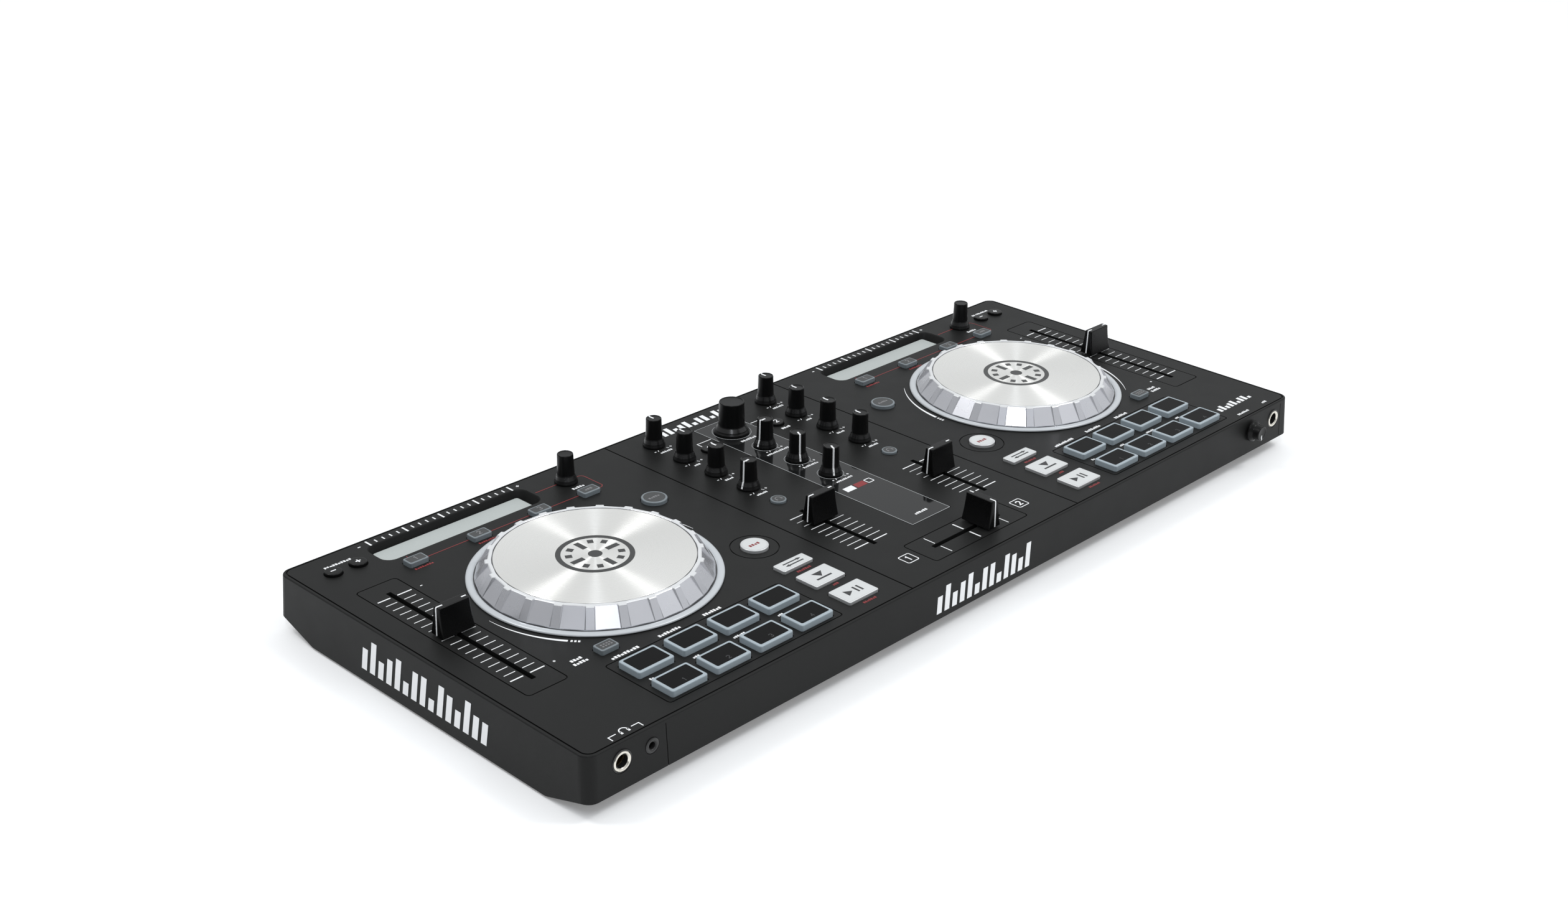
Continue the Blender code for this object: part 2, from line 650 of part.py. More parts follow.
def knobs():
    shaft_end = BOARD_TOP - 0.2 + POT[2] + GAP
    for name, x, y, kind in knob_places():
        if kind == "browse":
            profile = knob_profile(*BROWSE_KNOB, shaft_end)
        else:
            profile = knob_profile(*KNOB, shaft_end)
        turned(name, profile, KNOB_BLACK, (x, y, 0.0))
    wall = HALF_Y + FLARE
    reach = MIC_KNOB_REACH - wall
    profile = [(0.0, reach), (4.3, reach), (4.5, reach - 3.4), (6.2, 1.4), (6.2, 0.4), (3.0, 0.4),
               (3.0, -3.6), (0.0, -3.6)]
    turned("mic_gain_knob", profile, KNOB_BLACK, (MIC_KNOB_X, -wall, JACK_Z), axis="front")


def square_keys():
    for name, x, y, (half_x, half_y, corner, height), finish in square_key_places():
        flange = (half_x + 0.9, half_y + 0.9, corner)
        sections = [(half_x, half_y, corner, height),
                    (half_x, half_y, corner, -WALL - GAP), (*flange, -WALL - GAP),
                    (*flange, -WALL - GAP - 0.9), (1.6, 1.6, 0.4, -WALL - GAP - 0.9),
                    (1.6, 1.6, 0.4, KEY_STEM_Z)]
        stack(name, sections, finish, (x, y, 0.0))


def round_keys():
    for name, x, y, (radius, height), finish in round_key_places():
        profile = [(0.0, height), (radius, height), (radius, -WALL - GAP),
                   (radius + 0.9, -WALL - GAP), (radius + 0.9, -WALL - GAP - 0.9),
                   (1.6, -WALL - GAP - 0.9), (1.6, KEY_STEM_Z), (0.0, KEY_STEM_Z)]
        turned(name, profile, finish, (x, y, 0.0))


def pad_mats():
    """One silicone moulding for each deck: eight pads on a web below the panel."""
    for side, sign in DECKS:
        at = (sign * DECK_X, PAD_Y, 0.0)
        web = (2 * PAD_PITCH[0] + 0.2, PAD_PITCH[1] + 0.2, 1.0)
        mat = stack("pad_mat_" + side, [(*web, -WALL - GAP), (*web, -WALL - GAP - 1.0)], PAD_GREY, at)

        def pads(bm, side=side):
            for deck, x, y in pad_places():
                if deck != side:
                    continue
                half = (PAD_SIZE[0] / 2, PAD_SIZE[1] / 2)
                add_stack(bm, [(*half, 0.7, PAD_H), (*half, 0.7, -WALL - 0.7),
                               (1.6, 1.6, 0.4, -WALL - 0.7), (1.6, 1.6, 0.4, -12.0)],
                          centre=(x, y, 0.0))

        combine(mat, "UNION", tool("pads_" + side, pads))


def fader_cap(name, x, y, along, stem_end):
    """A ridge-shaped cap on its lever; along is the axis that it slides on."""
    sections = [(8.7, 2.5, 0.5, 15.7), (8.8, 3.0, 0.5, 9.0), (9.1, 4.4, 0.5, 4.0), (9.2, 6.0, 0.5, 1.2),
                (0.7, 2.0, 0.2, 1.2), (0.7, 2.0, 0.2, stem_end)]
    if along == "x":
        sections = [(b, a, radius, z) for a, b, radius, z in sections]
    stack(name, sections, KNOB_BLACK, (x, y, 0.0))


def faders():
    stem_end = BOARD_TOP - 0.2 + FADER_BODY_H + GAP
    for side, sign in DECKS:
        fader_cap("pitch_fader_" + side, sign * PITCH_X, PITCH_AT, "y", stem_end)
    for channel, sign, y in ((1, -1, CHANNEL_AT[0]), (2, 1, CHANNEL_AT[1])):
        fader_cap(f"channel_fader_{channel}", sign * COLUMN_X, y, "y", stem_end)
    fader_cap("crossfader", CROSS_AT, CROSS_Y, "x", stem_end)


def shade_round_pieces():
    for obj in parts.objects:
        obj.data.shade_smooth()
        if any(modifier.type in {"SCREW", "BOOLEAN"} for modifier in obj.modifiers):
            continue
        obj.data.set_sharp_from_angle(angle=math.radians(35))


def build():
    top_case()
    bottom_case()
    main_board()
    jack_board("headphone_jack_board",
               [(BIG_JACK_X, 4.75, 3.2, (15.4, 24.0, 11.2)), (SMALL_JACK_X, 3.6, 1.8, (8.0, 12.0, 8.6))], [])
    jack_board("mic_jack_board", [(MIC_JACK_X, 4.75, 3.2, (15.4, 24.0, 11.2))],
               [(MIC_KNOB_X, 0.0, (9.5, 6.6, 11.0))])
    mixer_window()
    touch_strips()
    jog_wheels()
    knobs()
    square_keys()
    round_keys()
    pad_mats()
    faders()
    shade_round_pieces()


build()
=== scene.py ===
"""Looks of the two-deck DJ controller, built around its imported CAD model.

Tables are in millimetres, measured as on the drawing of the control panel: x to the right and y to
the back from the middle of the case, z up from the top face of the panel.
"""
import math

import bmesh
import bpy
from mathutils import Matrix, Vector


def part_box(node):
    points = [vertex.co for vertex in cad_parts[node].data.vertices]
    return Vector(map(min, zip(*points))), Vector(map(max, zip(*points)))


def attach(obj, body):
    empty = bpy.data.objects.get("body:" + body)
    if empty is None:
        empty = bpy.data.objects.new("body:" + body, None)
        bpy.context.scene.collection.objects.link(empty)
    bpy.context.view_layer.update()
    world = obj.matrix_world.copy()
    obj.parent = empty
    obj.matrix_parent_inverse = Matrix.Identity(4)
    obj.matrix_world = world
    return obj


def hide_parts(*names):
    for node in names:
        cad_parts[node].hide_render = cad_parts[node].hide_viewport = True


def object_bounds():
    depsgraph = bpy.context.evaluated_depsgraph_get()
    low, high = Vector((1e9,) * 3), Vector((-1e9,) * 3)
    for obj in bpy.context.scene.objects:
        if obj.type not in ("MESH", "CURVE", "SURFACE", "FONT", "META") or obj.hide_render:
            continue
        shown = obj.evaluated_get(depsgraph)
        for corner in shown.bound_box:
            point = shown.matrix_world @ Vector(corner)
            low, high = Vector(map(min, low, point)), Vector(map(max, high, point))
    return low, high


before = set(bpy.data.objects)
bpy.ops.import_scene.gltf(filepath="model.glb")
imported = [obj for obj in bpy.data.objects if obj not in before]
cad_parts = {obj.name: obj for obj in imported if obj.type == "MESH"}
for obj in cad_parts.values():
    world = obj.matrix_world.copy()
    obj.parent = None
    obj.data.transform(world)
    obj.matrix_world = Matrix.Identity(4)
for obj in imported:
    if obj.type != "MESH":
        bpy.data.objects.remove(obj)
CAD_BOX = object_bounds()

MM = 0.001
CASE_LOW, CASE_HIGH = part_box("top_case")
PANEL = Vector(((CASE_LOW.x + CASE_HIGH.x) / 2, (CASE_LOW.y + CASE_HIGH.y) / 2, CASE_HIGH.z))


def at(x, y, z=0.0):
    """World position of a point given in panel millimetres."""
    return PANEL + Vector((x, y, z)) * MM


def centre_of(node):
    """Middle of a CAD node in panel millimetres."""
    low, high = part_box(node)
    return ((low + high) / 2 - PANEL) / MM


def half_size(node):
    """Half width, depth and height of a CAD node in millimetres."""
    low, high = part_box(node)
    return (high - low) / 2 / MM


def lowest(node):
    """Height of a CAD node's lowest point in panel millimetres."""
    return (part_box(node)[0].z - PANEL.z) / MM


def highest(node):
    return (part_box(node)[1].z - PANEL.z) / MM


# Case
FLOOR_Z = (CAD_BOX[0].z - PANEL.z) / MM
FLARE = 1.5                          # how far the walls lean out on their way down
HALF_X = (CASE_HIGH.x - CASE_LOW.x) / 2 / MM - FLARE
HALF_Y = (CASE_HIGH.y - CASE_LOW.y) / 2 / MM - FLARE
WALL_DROP = 22.7
CASE_DROP = 30.0
CHIN_Y = 92.0                        # half depth of the flat underside
WALL = 2.5
CORNER_R = 6.0
EDGE_R = 0.8
BOARD_TOP = -14.4
BOARD_BACK = 98.0                    # beyond this line the board is painted dark
SCREW_X = (-230.0, -75.0, 75.0, 230.0)
SCREW_Y = (-72.0, 60.0)
FOOT_X = (-245.0, 0.0, 245.0)
FOOT_Y = (-80.0, 80.0)
VENTS = 9
VENT_X = 150.0
VENT_PITCH = 6.0

# Sockets in the walls
JACK_Z = -9.2
SOCKETS = {                          # place along the front wall, radius of the opening
    "headphone_large": (-252.8, 5.6),
    "headphone_small": (-235.9, 3.9),
    "mic": (254.5, 5.6),
    "mic_knob": (231.0, 3.7),
}
USB = (20.0, -8.9)                   # place on the rear wall: x, z
USB_HOLE = (6.5, 5.8)                # half width, half height
PHONO = (72.0, -11.4)
PHONO_HOLE = (16.9, 8.9)
PHONO_STEP = 7.0

# Grooves: half width, half depth and corner of each outline
RIM = (269.6, 111.6, 4.5)
PITCH_FRAME = (11.4, 64.1, 2.2)
PAD_FRAME = (54.8, 21.3, 1.6)
CROSS_FRAME = (36.3, 11.1, 2.0)
SHIFT_RING = (12.0, 12.6)            # inner and outer radius
MIXER_X = 65.7
WALL_SEAMS = (-227.5, 262.0)
GROOVE_W = 0.8
FINE_GROOVE_W = 0.6
GROOVE_D = 0.7

# Openings
CLEAR = 0.35                         # gap round a key
KEY_CORNER = 0.8
HOLE_STEPS = 64
WHEEL_HOLE_R = 30.0
SLOT_HALF = 1.35                     # half width of a fader's slot
CUT_HIGH = 3.0                       # the panel's cutters run from here
CUT_LOW = -4.0                       # down to here
SLOT_LOW = -5.0

# Decks and mixer
DECKS = (("left", -1), ("right", 1))
DECK_X = 162.7
SIDE_KEY_X = 89.3
SHIFT_Y = -28.3
PITCH_X = 246.0
PITCH_Y = 5.4
PITCH_L = 108.0                      # length of the slot
COLUMN_X = 43.6
CHANNEL_Y = -42.2
CHANNEL_L = 52.0
CROSS_Y = -90.7
CROSS_L = 52.0
STRIP_OFFSET = -16.2                 # from the middle of the deck
STRIP_Y = 95.2
STRIP_HALF = (48.5, 9.4)             # half length and half width of the recess
STRIP_DEPTH = 4.6
WINDOW_Y = 13.2
WINDOW_HALF = (15.0, 81.0)
PAD_HALF = (10.65, 7.25)
PAD_PITCH = (26.9, 21.4)
PAD_Y = -85.0
PAD_FRAME_Y = -84.0
PAD_H = 3.0
TAP_OFFSET = 54.7                    # keys of the effects row, from the middle of the deck
FX_OFFSETS = (-55.4, -16.8, 21.9)
FX_HALF = 6.2
FX_Y = 76.2

# Keys and knobs
KEY_FLANGE = 0.9                     # how far the hidden flange stands out under the panel
KEY_EDGE = 0.45                      # rounding of a key's top
FLANGE_TOP = -WALL - 0.3
FLANGE_LOW = -WALL - 1.2
STEM = 1.6                           # half width of a key's stem
KNOB_SIZE = (16.6, 4.35, 6.3)        # height, radius of the grip, radius of the skirt
BROWSE_SIZE = (18.5, 7.1, 10.0)
SHAFT_R = 3.0

# Printing stands just clear of the surface it is on
INK_LOW = -0.03
INK_HIGH = 0.06
FACE_PROUD = 0.03                    # how far a coloured face stands out of its key
FACE_SUNK = 0.2                      # how deep it goes into it
MARK_LOW = 0.02                      # marks on keys, from the key's top
MARK_HIGH = 0.07

# Camera and light
CAMERA_TURN = (-46.507, 26.566, 0.967)      # azimuth, elevation and roll
CAMERA_TARGET = (-47.9, -15.9, 0.0)
CAMERA_DISTANCE = 1002.2
CAMERA_LENS = 44.79
CAMERA_SHIFT = (-0.0066, 0.0326)
SKY = (0.43, 0.96)                   # strength at the horizon and overhead
SKY_LEAN = (0.46, 0.04, 0.0)         # the sky is brighter to the right of the object than to its left


# ---- materials

def node(tree, kind, inputs=None, **settings):
    """A shader node with linked or constant inputs."""
    made = tree.nodes.new("ShaderNode" + kind)
    for key, value in settings.items():
        setattr(made, key, value)
    for key, value in (inputs or {}).items():
        if isinstance(value, bpy.types.NodeSocket):
            tree.links.new(value, made.inputs[key])
        else:
            made.inputs[key].default_value = value
    return made


def spread(tree, source, low, high):
    """The middle of a noise stretched to run from low to high."""
    inputs = {"Value": source, "From Min": 0.3, "From Max": 0.7, "To Min": low, "To Max": high}
    return node(tree, "MapRange", inputs).outputs["Result"]


def combine(tree, operation, first, second):
    return node(tree, "Math", {0: first, 1: second}, operation=operation).outputs[0]


def finish(tree, colour, tone, roughness, height, strength, depth):
    """Drive the shader's colour, scaled by tone, and its roughness and relief."""
    shader = tree.nodes["Principled BSDF"]
    tint = node(tree, "VectorMath", {0: colour, "Scale": tone}, operation="SCALE")
    bump = node(tree, "Bump", {"Height": height, "Strength": strength, "Distance": depth * MM})
    tree.links.new(tint.outputs[0], shader.inputs["Base Color"])
    tree.links.new(roughness, shader.inputs["Roughness"])
    tree.links.new(bump.outputs["Normal"], shader.inputs["Normal"])


def surface(name, colour, roughness, metallic=0.0, mottle=0.08, grain=2500.0, relief=0.02, sockets=None):
    """A finish with mottled colour, uneven gloss and a moulded or sprayed grain."""
    material = bpy.data.materials.new(name)
    material.use_nodes = True
    tree = material.node_tree
    shader = tree.nodes["Principled BSDF"]
    shader.inputs["Metallic"].default_value = metallic
    for key, value in (sockets or {}).items():
        shader.inputs[key].default_value = value
    coords = node(tree, "TexCoord").outputs["Object"]
    cloud = node(tree, "TexNoise", {"Vector": coords, "Scale": 55.0, "Detail": 4.0}).outputs["Fac"]
    speck = node(tree, "TexNoise", {"Vector": coords, "Scale": grain, "Detail": 2.0}).outputs["Fac"]
    blend = combine(tree, "MULTIPLY", combine(tree, "ADD", cloud, speck), 0.5)
    tone = spread(tree, blend, 1.0 - mottle, 1.0 + mottle)
    finish(tree, colour, tone, spread(tree, cloud, roughness * 0.95, roughness * 1.05), speck, 0.5, relief)
    return material


def brushed_metal(name, colour, roughness):
    """Turned aluminium: fine rings about the piece's own axis."""
    material = surface(name, colour, roughness, metallic=1.0,
                       sockets={"Anisotropic": 1.0, "Anisotropic Rotation": 0.25})
    tree = material.node_tree
    coords = node(tree, "TexCoord").outputs["Object"]
    flat = node(tree, "VectorMath", {0: coords, 1: (1.0, 1.0, 0.0)}, operation="MULTIPLY")
    radius = node(tree, "VectorMath", {0: flat.outputs[0]}, operation="LENGTH").outputs["Value"]
    rings = node(tree, "TexNoise", {"W": radius, "Scale": 2600.0, "Detail": 5.0},
                 noise_dimensions="1D").outputs["Fac"]
    tone = spread(tree, rings, 0.94, 1.04)
    finish(tree, colour, tone, spread(tree, rings, roughness * 0.85, roughness * 1.15), rings, 0.25, 0.004)
    tangent = node(tree, "Tangent", direction_type="RADIAL", axis="Z").outputs["Tangent"]
    tree.links.new(tangent, tree.nodes["Principled BSDF"].inputs["Tangent"])
    return material


def circuit_board(name, board_top, back_edge):
    """Green lacquer with copper tracks, dark above the board's top and beyond its back edge."""
    material = surface(name, (0.01, 0.07, 0.03), 0.4, mottle=0.2, grain=1200.0)
    tree = material.node_tree
    coords = node(tree, "TexCoord").outputs["Object"]
    tracks = node(tree, "TexBrick", {
        "Vector": coords, "Scale": 60.0, "Mortar Size": 0.03,
        "Color1": (0.008, 0.06, 0.025, 1.0), "Color2": (0.01, 0.075, 0.03, 1.0),
        "Mortar": (0.05, 0.17, 0.06, 1.0)}).outputs["Color"]
    place = node(tree, "SeparateXYZ", {0: coords}).outputs
    above = combine(tree, "GREATER_THAN", place["Z"], board_top + 0.1 * MM)
    behind = combine(tree, "GREATER_THAN", place["Y"], back_edge)
    mix = node(tree, "Mix", data_type="RGBA")
    tree.links.new(combine(tree, "MAXIMUM", above, behind), mix.inputs["Factor"])
    tree.links.new(tracks, mix.inputs["A"])
    mix.inputs["B"].default_value = (0.015, 0.015, 0.016, 1.0)
    tree.links.new(mix.outputs["Result"], tree.nodes["Principled BSDF"].inputs["Base Color"])
    return material


def sheen(level):
    return {"Specular IOR Level": level}


def coat(weight, roughness):
    return {"Coat Weight": weight, "Coat Roughness": roughness}


def milky(weight, scale):
    """Light passes a little way into silicone."""
    return {"Subsurface Weight": weight, "Subsurface Scale": scale, "Subsurface Radius": (1.0, 1.0, 1.0)}


SATIN = sheen(0.16)
CASE_PLASTIC = surface("case_plastic", (0.0082, 0.0084, 0.0082), 0.48, 0.0, 0.12, 2600.0, 0.05, SATIN)
KNOB_RUBBER = surface("knob_rubber", (0.0045, 0.0045, 0.0046), 0.30, mottle=0.10, sockets=SATIN)
KNOB_GLOSS = surface("knob_gloss", (0.0045, 0.0045, 0.0048), 0.26, mottle=0.05, relief=0.005)
CAP_PLASTIC = surface("fader_plastic", (0.0020, 0.0020, 0.0021), 0.27, mottle=0.10, sockets=SATIN)
SILVER = surface("silver_key_paint", (0.62, 0.63, 0.635), 0.36, 0.55, 0.04, relief=0.01,
                 sockets=coat(0.25, 0.15))
SILVER_FACE = surface("silver_key_face", (0.64, 0.655, 0.655), 0.42, 0.35, 0.04, relief=0.01)
SMOKE = surface("smoke_silicone", (0.165, 0.190, 0.205), 0.46, mottle=0.06, sockets=milky(0.25, 0.001))
SMOKE_FACE = surface("smoke_key_face", (0.060, 0.062, 0.063), 0.42, sockets=SATIN)
PAD_SIDE = surface("pad_silicone", (0.33, 0.385, 0.42), 0.42, mottle=0.05, sockets=milky(0.35, 0.0015))
PAD_FACE = surface("pad_face", (0.0036, 0.0036, 0.0038), 0.40, mottle=0.12, relief=0.03, sockets=sheen(0.06))
JOG_SILVER = surface("jog_silver_paint", (0.60, 0.605, 0.64), 0.27, 0.8, 0.015, relief=0.0,
                     sockets=coat(0.25, 0.12))
JOG_RIM = surface("jog_rim_plastic", (0.50, 0.525, 0.545), 0.34, 0.2, 0.03, relief=0.01)
JOG_LIP = surface("jog_lip_paint", (0.68, 0.69, 0.70), 0.34, 0.3, 0.015, relief=0.0)
JOG_DISC = brushed_metal("turned_aluminium", (0.91, 0.905, 0.88), 0.30)
# dark ink of the emblem; the same dark also fills gaps at the jog wheel's edges as painted shade
EMBLEM_INK_AND_GAP_SHADE = surface("emblem_ink_and_gap_shade", (0.016, 0.017, 0.017), 0.30)
STRIP_PALE = surface("touch_strip_film", (0.40, 0.43, 0.42), 0.45, 0.0, 0.04, 1500.0, 0.01)
WINDOW_GLOSS = surface("smoked_acrylic", (0.0080, 0.0083, 0.0086), 0.06, mottle=0.03, relief=0.0,
                       sockets=sheen(0.25))
WHITE_INK = surface("white_ink", (0.80, 0.81, 0.82), 0.5, mottle=0.03)
GREY_INK = surface("grey_ink", (0.17, 0.17, 0.175), 0.5, mottle=0.05)
# pale grey for the rings round the knobs in the window: painted highlight standing for light on the edges of
# the window's cut-outs
CUTOUT_EDGE_HIGHLIGHT = surface("cutout_edge_highlight", (0.34, 0.35, 0.355), 0.5, mottle=0.05)
DARK_INK = surface("dark_ink", (0.022, 0.023, 0.025), 0.5, mottle=0.05)
RED_INK = surface("red_ink", (0.21, 0.014, 0.016), 0.5, mottle=0.05)
NICKEL = surface("nickel", (0.72, 0.69, 0.62), 0.2, 1.0, 0.03, relief=0.005)
BRASS = surface("brass", (0.62, 0.47, 0.23), 0.28, 1.0, 0.05, relief=0.01)
STEEL = surface("zinc_steel", (0.45, 0.45, 0.46), 0.35, 1.0, relief=0.01)
SOCKET_BLACK = surface("socket_plastic", (0.012, 0.012, 0.012), 0.4)
FOOT_RUBBER = surface("foot_rubber", (0.018, 0.018, 0.018), 0.8, 0.0, 0.15, 1500.0, 0.06)
BOARD = circuit_board("circuit_board", at(0, 0, BOARD_TOP).z, at(0, BOARD_BACK, 0).y)


# ---- shapes

def circle(radius, steps=HOLE_STEPS):
    angles = [math.tau * k / steps for k in range(steps)]
    return [(radius * math.cos(a), radius * math.sin(a)) for a in angles]


def rectangle(x0, x1, y0, y1):
    return [(x0, y0), (x1, y0), (x1, y1), (x0, y1)]


def rounded_outline(half_x, half_y, radius, steps=6):
    """Corner points of a rounded rectangle, anticlockwise."""
    points = []
    for sign_x, sign_y, start in ((1, 1, 0), (-1, 1, 90), (-1, -1, 180), (1, -1, 270)):
        for step in range(steps + 1):
            angle = math.radians(start + 90 * step / steps)
            points.append((sign_x * (half_x - radius) + radius * math.cos(angle),
                           sign_y * (half_y - radius) + radius * math.sin(angle)))
    return points


def stroke_outline(points, width):
    """Outline of a line of the given width through points, with mitred joints."""
    points = [Vector(p) for p in points]
    runs = [(b - a).normalized() for a, b in zip(points, points[1:])]
    left, right = [], []
    for i, point in enumerate(points):
        before = runs[max(i - 1, 0)]
        after = runs[min(i, len(runs) - 1)]
        normal = Vector((-before.y, before.x))
        mitre = (normal + Vector((-after.y, after.x))).normalized()
        reach = mitre * (width / 2 / max(mitre.dot(normal), 0.4))
        left.append(point + reach)
        right.append(point - reach)
    return [tuple(p) for p in right + left[::-1]]


class Piece:
    """One mesh in millimetres about its own centre, built up from closed shapes."""

    def __init__(self, name, centre=(0.0, 0.0, 0.0), material=CASE_PLASTIC):
        self.name = name
        self.centre = centre
        self.bm = bmesh.new()
        self.materials = []
        self.use(material)

    def use(self, material):
        if material not in self.materials:
            self.materials.append(material)
        self.index = self.materials.index(material)
        return self

    def face(self, verts):
        made = self.bm.faces.new(verts)
        made.material_index = self.index

    def skin(self, rings, wrap=False):
        """Join rings of points, the highest first, each anticlockwise seen from above."""
        rows = [[self.bm.verts.new(point) for point in ring] for ring in rings]
        if not wrap:
            self.face(rows[0])
            self.face(rows[-1][::-1])
        self.join(rows, wrap)

    def join(self, rows, wrap):
        """Faces between rows of vertices; a row of one vertex is a tip."""
        for upper, lower in list(zip(rows, rows[1:])) + ([(rows[-1], rows[0])] if wrap else []):
            count = max(len(upper), len(lower))
            for i in range(count):
                j = (i + 1) % count
                if len(upper) == 1:
                    self.face((upper[0], lower[i], lower[j]))
                elif len(lower) == 1:
                    self.face((upper[j], upper[i], lower[0]))
                else:
                    self.face((upper[j], upper[i], lower[i], lower[j]))

    def stack(self, sections, centre=(0.0, 0.0), steps=6):
        """Skin over rounded rectangles (half_x, half_y, radius, z), the highest first."""
        x, y = centre
        self.skin([[(x + px, y + py, z) for px, py in rounded_outline(hx, hy, r, steps)]
                   for hx, hy, r, z in sections])

    def prism(self, half_x, half_y, radius, high, low, centre=(0.0, 0.0), steps=6):
        """A rounded rectangle of even section from high down to low."""
        self.stack([(half_x, half_y, radius, high), (half_x, half_y, radius, low)], centre, steps)

    def lathe(self, profile, steps=64, centre=(0.0, 0.0), angles=None, radius=None, wrap=False):
        """Turn (radius, z) points, outer side from the top down, about a vertical axis."""
        angles = angles or [math.tau * k / steps for k in range(steps)]
        rows = []
        for r, z in profile:
            if r == 0:
                rows.append([self.bm.verts.new((*centre, z))])
                continue
            row = []
            for angle in angles:
                reach = radius(r, z, angle) if radius else r
                x = centre[0] + reach * math.cos(angle)
                y = centre[1] + reach * math.sin(angle)
                row.append(self.bm.verts.new((x, y, z)))
            rows.append(row)
        self.join(rows, wrap)

    def slab(self, outline, low=INK_LOW, high=INK_HIGH):
        self.skin([[(x, y, high) for x, y in outline], [(x, y, low) for x, y in outline]])

    def line(self, points, width, low=INK_LOW, high=INK_HIGH):
        self.slab(stroke_outline(points, width), low, high)

    def ring(self, centre, inner, outer, low=INK_LOW, high=INK_HIGH, steps=64):
        self.lathe([(outer, high), (outer, low), (inner, low), (inner, high)], steps, centre, wrap=True)

    def disc(self, centre, radius, low=INK_LOW, high=INK_HIGH, steps=32):
        self.lathe([(0, high), (radius, high), (radius, low), (0, low)], steps, centre)

    def frame(self, centre, half_x, half_y, radius, width, low=INK_LOW, high=INK_HIGH, steps=6):
        """A line that follows a rounded rectangle."""
        rings = []
        for grow, z in ((0.5, high), (0.5, low), (-0.5, low), (-0.5, high)):
            outline = rounded_outline(half_x + grow * width, half_y + grow * width,
                                      max(radius + grow * width, 0.05), steps)
            rings.append([(centre[0] + x, centre[1] + y, z) for x, y in outline])
        self.skin(rings, wrap=True)

    def arc(self, centre, radius, start, end, width, low=INK_LOW, high=INK_HIGH, steps=40):
        """A band from start to end degrees, its width running from width[0] to width[1]."""
        outer, inner = [], []
        for step in range(steps + 1):
            share = step / steps
            angle = math.radians(start + (end - start) * share)
            half = (width[0] + (width[1] - width[0]) * share) / 2
            for points, r in ((outer, radius + half), (inner, radius - half)):
                points.append((centre[0] + r * math.cos(angle), centre[1] + r * math.sin(angle)))
        self.slab(outer + inner[::-1], low, high)

    def ribbon(self, path, width, angle):
        """A raised line over a turned surface, along (radius, z) points from the top outwards."""
        turn = Matrix.Rotation(angle, 3, "Z")
        rows = []
        for i, (r, z) in enumerate(path):
            a = Vector(path[max(i - 1, 0)])
            b = Vector(path[min(i + 1, len(path) - 1)])
            along = (b - a).normalized()
            out = Vector((-along.y, along.x))
            if out.x < -0.01:
                out = -out
            top = Vector((r, z)) + out * INK_HIGH
            low = Vector((r, z)) - out * 0.25
            half = width / 2
            corners = ((top.x, -half, top.y), (top.x, half, top.y),
                       (low.x, half, low.y), (low.x, -half, low.y))
            rows.append([turn @ Vector(corner) for corner in corners])
        self.skin(rows)

    def make(self, frame_matrix=None):
        """The Blender object, at its centre; frame_matrix turns it about that centre."""
        mesh = bpy.data.meshes.new(self.name)
        bmesh.ops.recalc_face_normals(self.bm, faces=self.bm.faces)
        self.bm.to_mesh(mesh)
        self.bm.free()
        mesh.transform(Matrix.Scale(MM, 4))
        for material in self.materials:
            mesh.materials.append(material)
        obj = bpy.data.objects.new(self.name, mesh)
        bpy.context.scene.collection.objects.link(obj)
        obj.matrix_world = Matrix.Translation(at(*self.centre)) @ (frame_matrix or Matrix()).to_4x4()
        return obj

    def add(self, body, slot, *nodes, frame_matrix=None, sharp=35.0):
        """Make the piece and place it."""
        settle(self.make(frame_matrix), body, slot, *nodes, sharp=sharp)


def settle(obj, body, slot, *nodes, sharp=35.0):
    """Finish a piece: it rides on a body and stands for CAD nodes; its large faces stay flat."""
    obj.data.shade_smooth()
    obj.data.set_sharp_from_angle(angle=math.radians(sharp))
    modifier = obj.modifiers.new("even_normals", "WEIGHTED_NORMAL")
    modifier.keep_sharp = True
    modifier.weight = 100
    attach(obj, body)
    if nodes:
        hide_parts(*nodes)


def carve(obj, operation, cutter):
    """Apply a Boolean with a cutter piece, and remove the cutter."""
    other = cutter.make()
    modifier = obj.modifiers.new("carve", "BOOLEAN")
    modifier.operation = operation
    modifier.solver = "EXACT"
    modifier.object = other
    bpy.context.view_layer.update()
    evaluated = obj.evaluated_get(bpy.context.evaluated_depsgraph_get())
    mesh = bpy.data.meshes.new_from_object(evaluated)
    obj.modifiers.clear()
    obj.data = mesh
    bpy.data.objects.remove(other, do_unlink=True)


# ---- generic marks

DIGITS = {
    "1": [[(-0.55, 0.85), (0.1, 1.4), (0.1, -1.5)]],
    "2": [[(-0.9, 0.8), (-0.5, 1.35), (0.5, 1.35), (0.85, 0.8), (0.75, 0.3), (-0.8, -1.3),
           (0.95, -1.3)]],
    "3": [[(-0.9, 1.1), (-0.4, 1.4), (0.45, 1.4), (0.85, 0.95), (0.8, 0.4), (0.25, 0.05), (0.85, -0.4),
           (0.85, -0.95), (0.4, -1.4), (-0.45, -1.4), (-0.9, -1.05)]],
    "4": [[(0.5, -1.5), (0.5, 1.3), (-0.85, -0.55), (0.2, -0.55)], [(0.8, -0.55), (1.1, -0.55)]],
    "+": [[(-1.0, 0.0), (1.0, 0.0)], [(0.0, 0.3), (0.0, 1.0)], [(0.0, -0.3), (0.0, -1.0)]],
    "-": [[(-1.0, 0.0), (1.0, 0.0)]],
}


def sign(piece, mark, x, y, size, weight=0.22, low=INK_LOW, high=INK_HIGH):
    """A digit, plus or minus of the given height."""
    scale = size / 3.0
    for points in DIGITS[mark]:
        piece.line([(x + px * scale, y + py * scale) for px, py in points], size * weight, low, high)


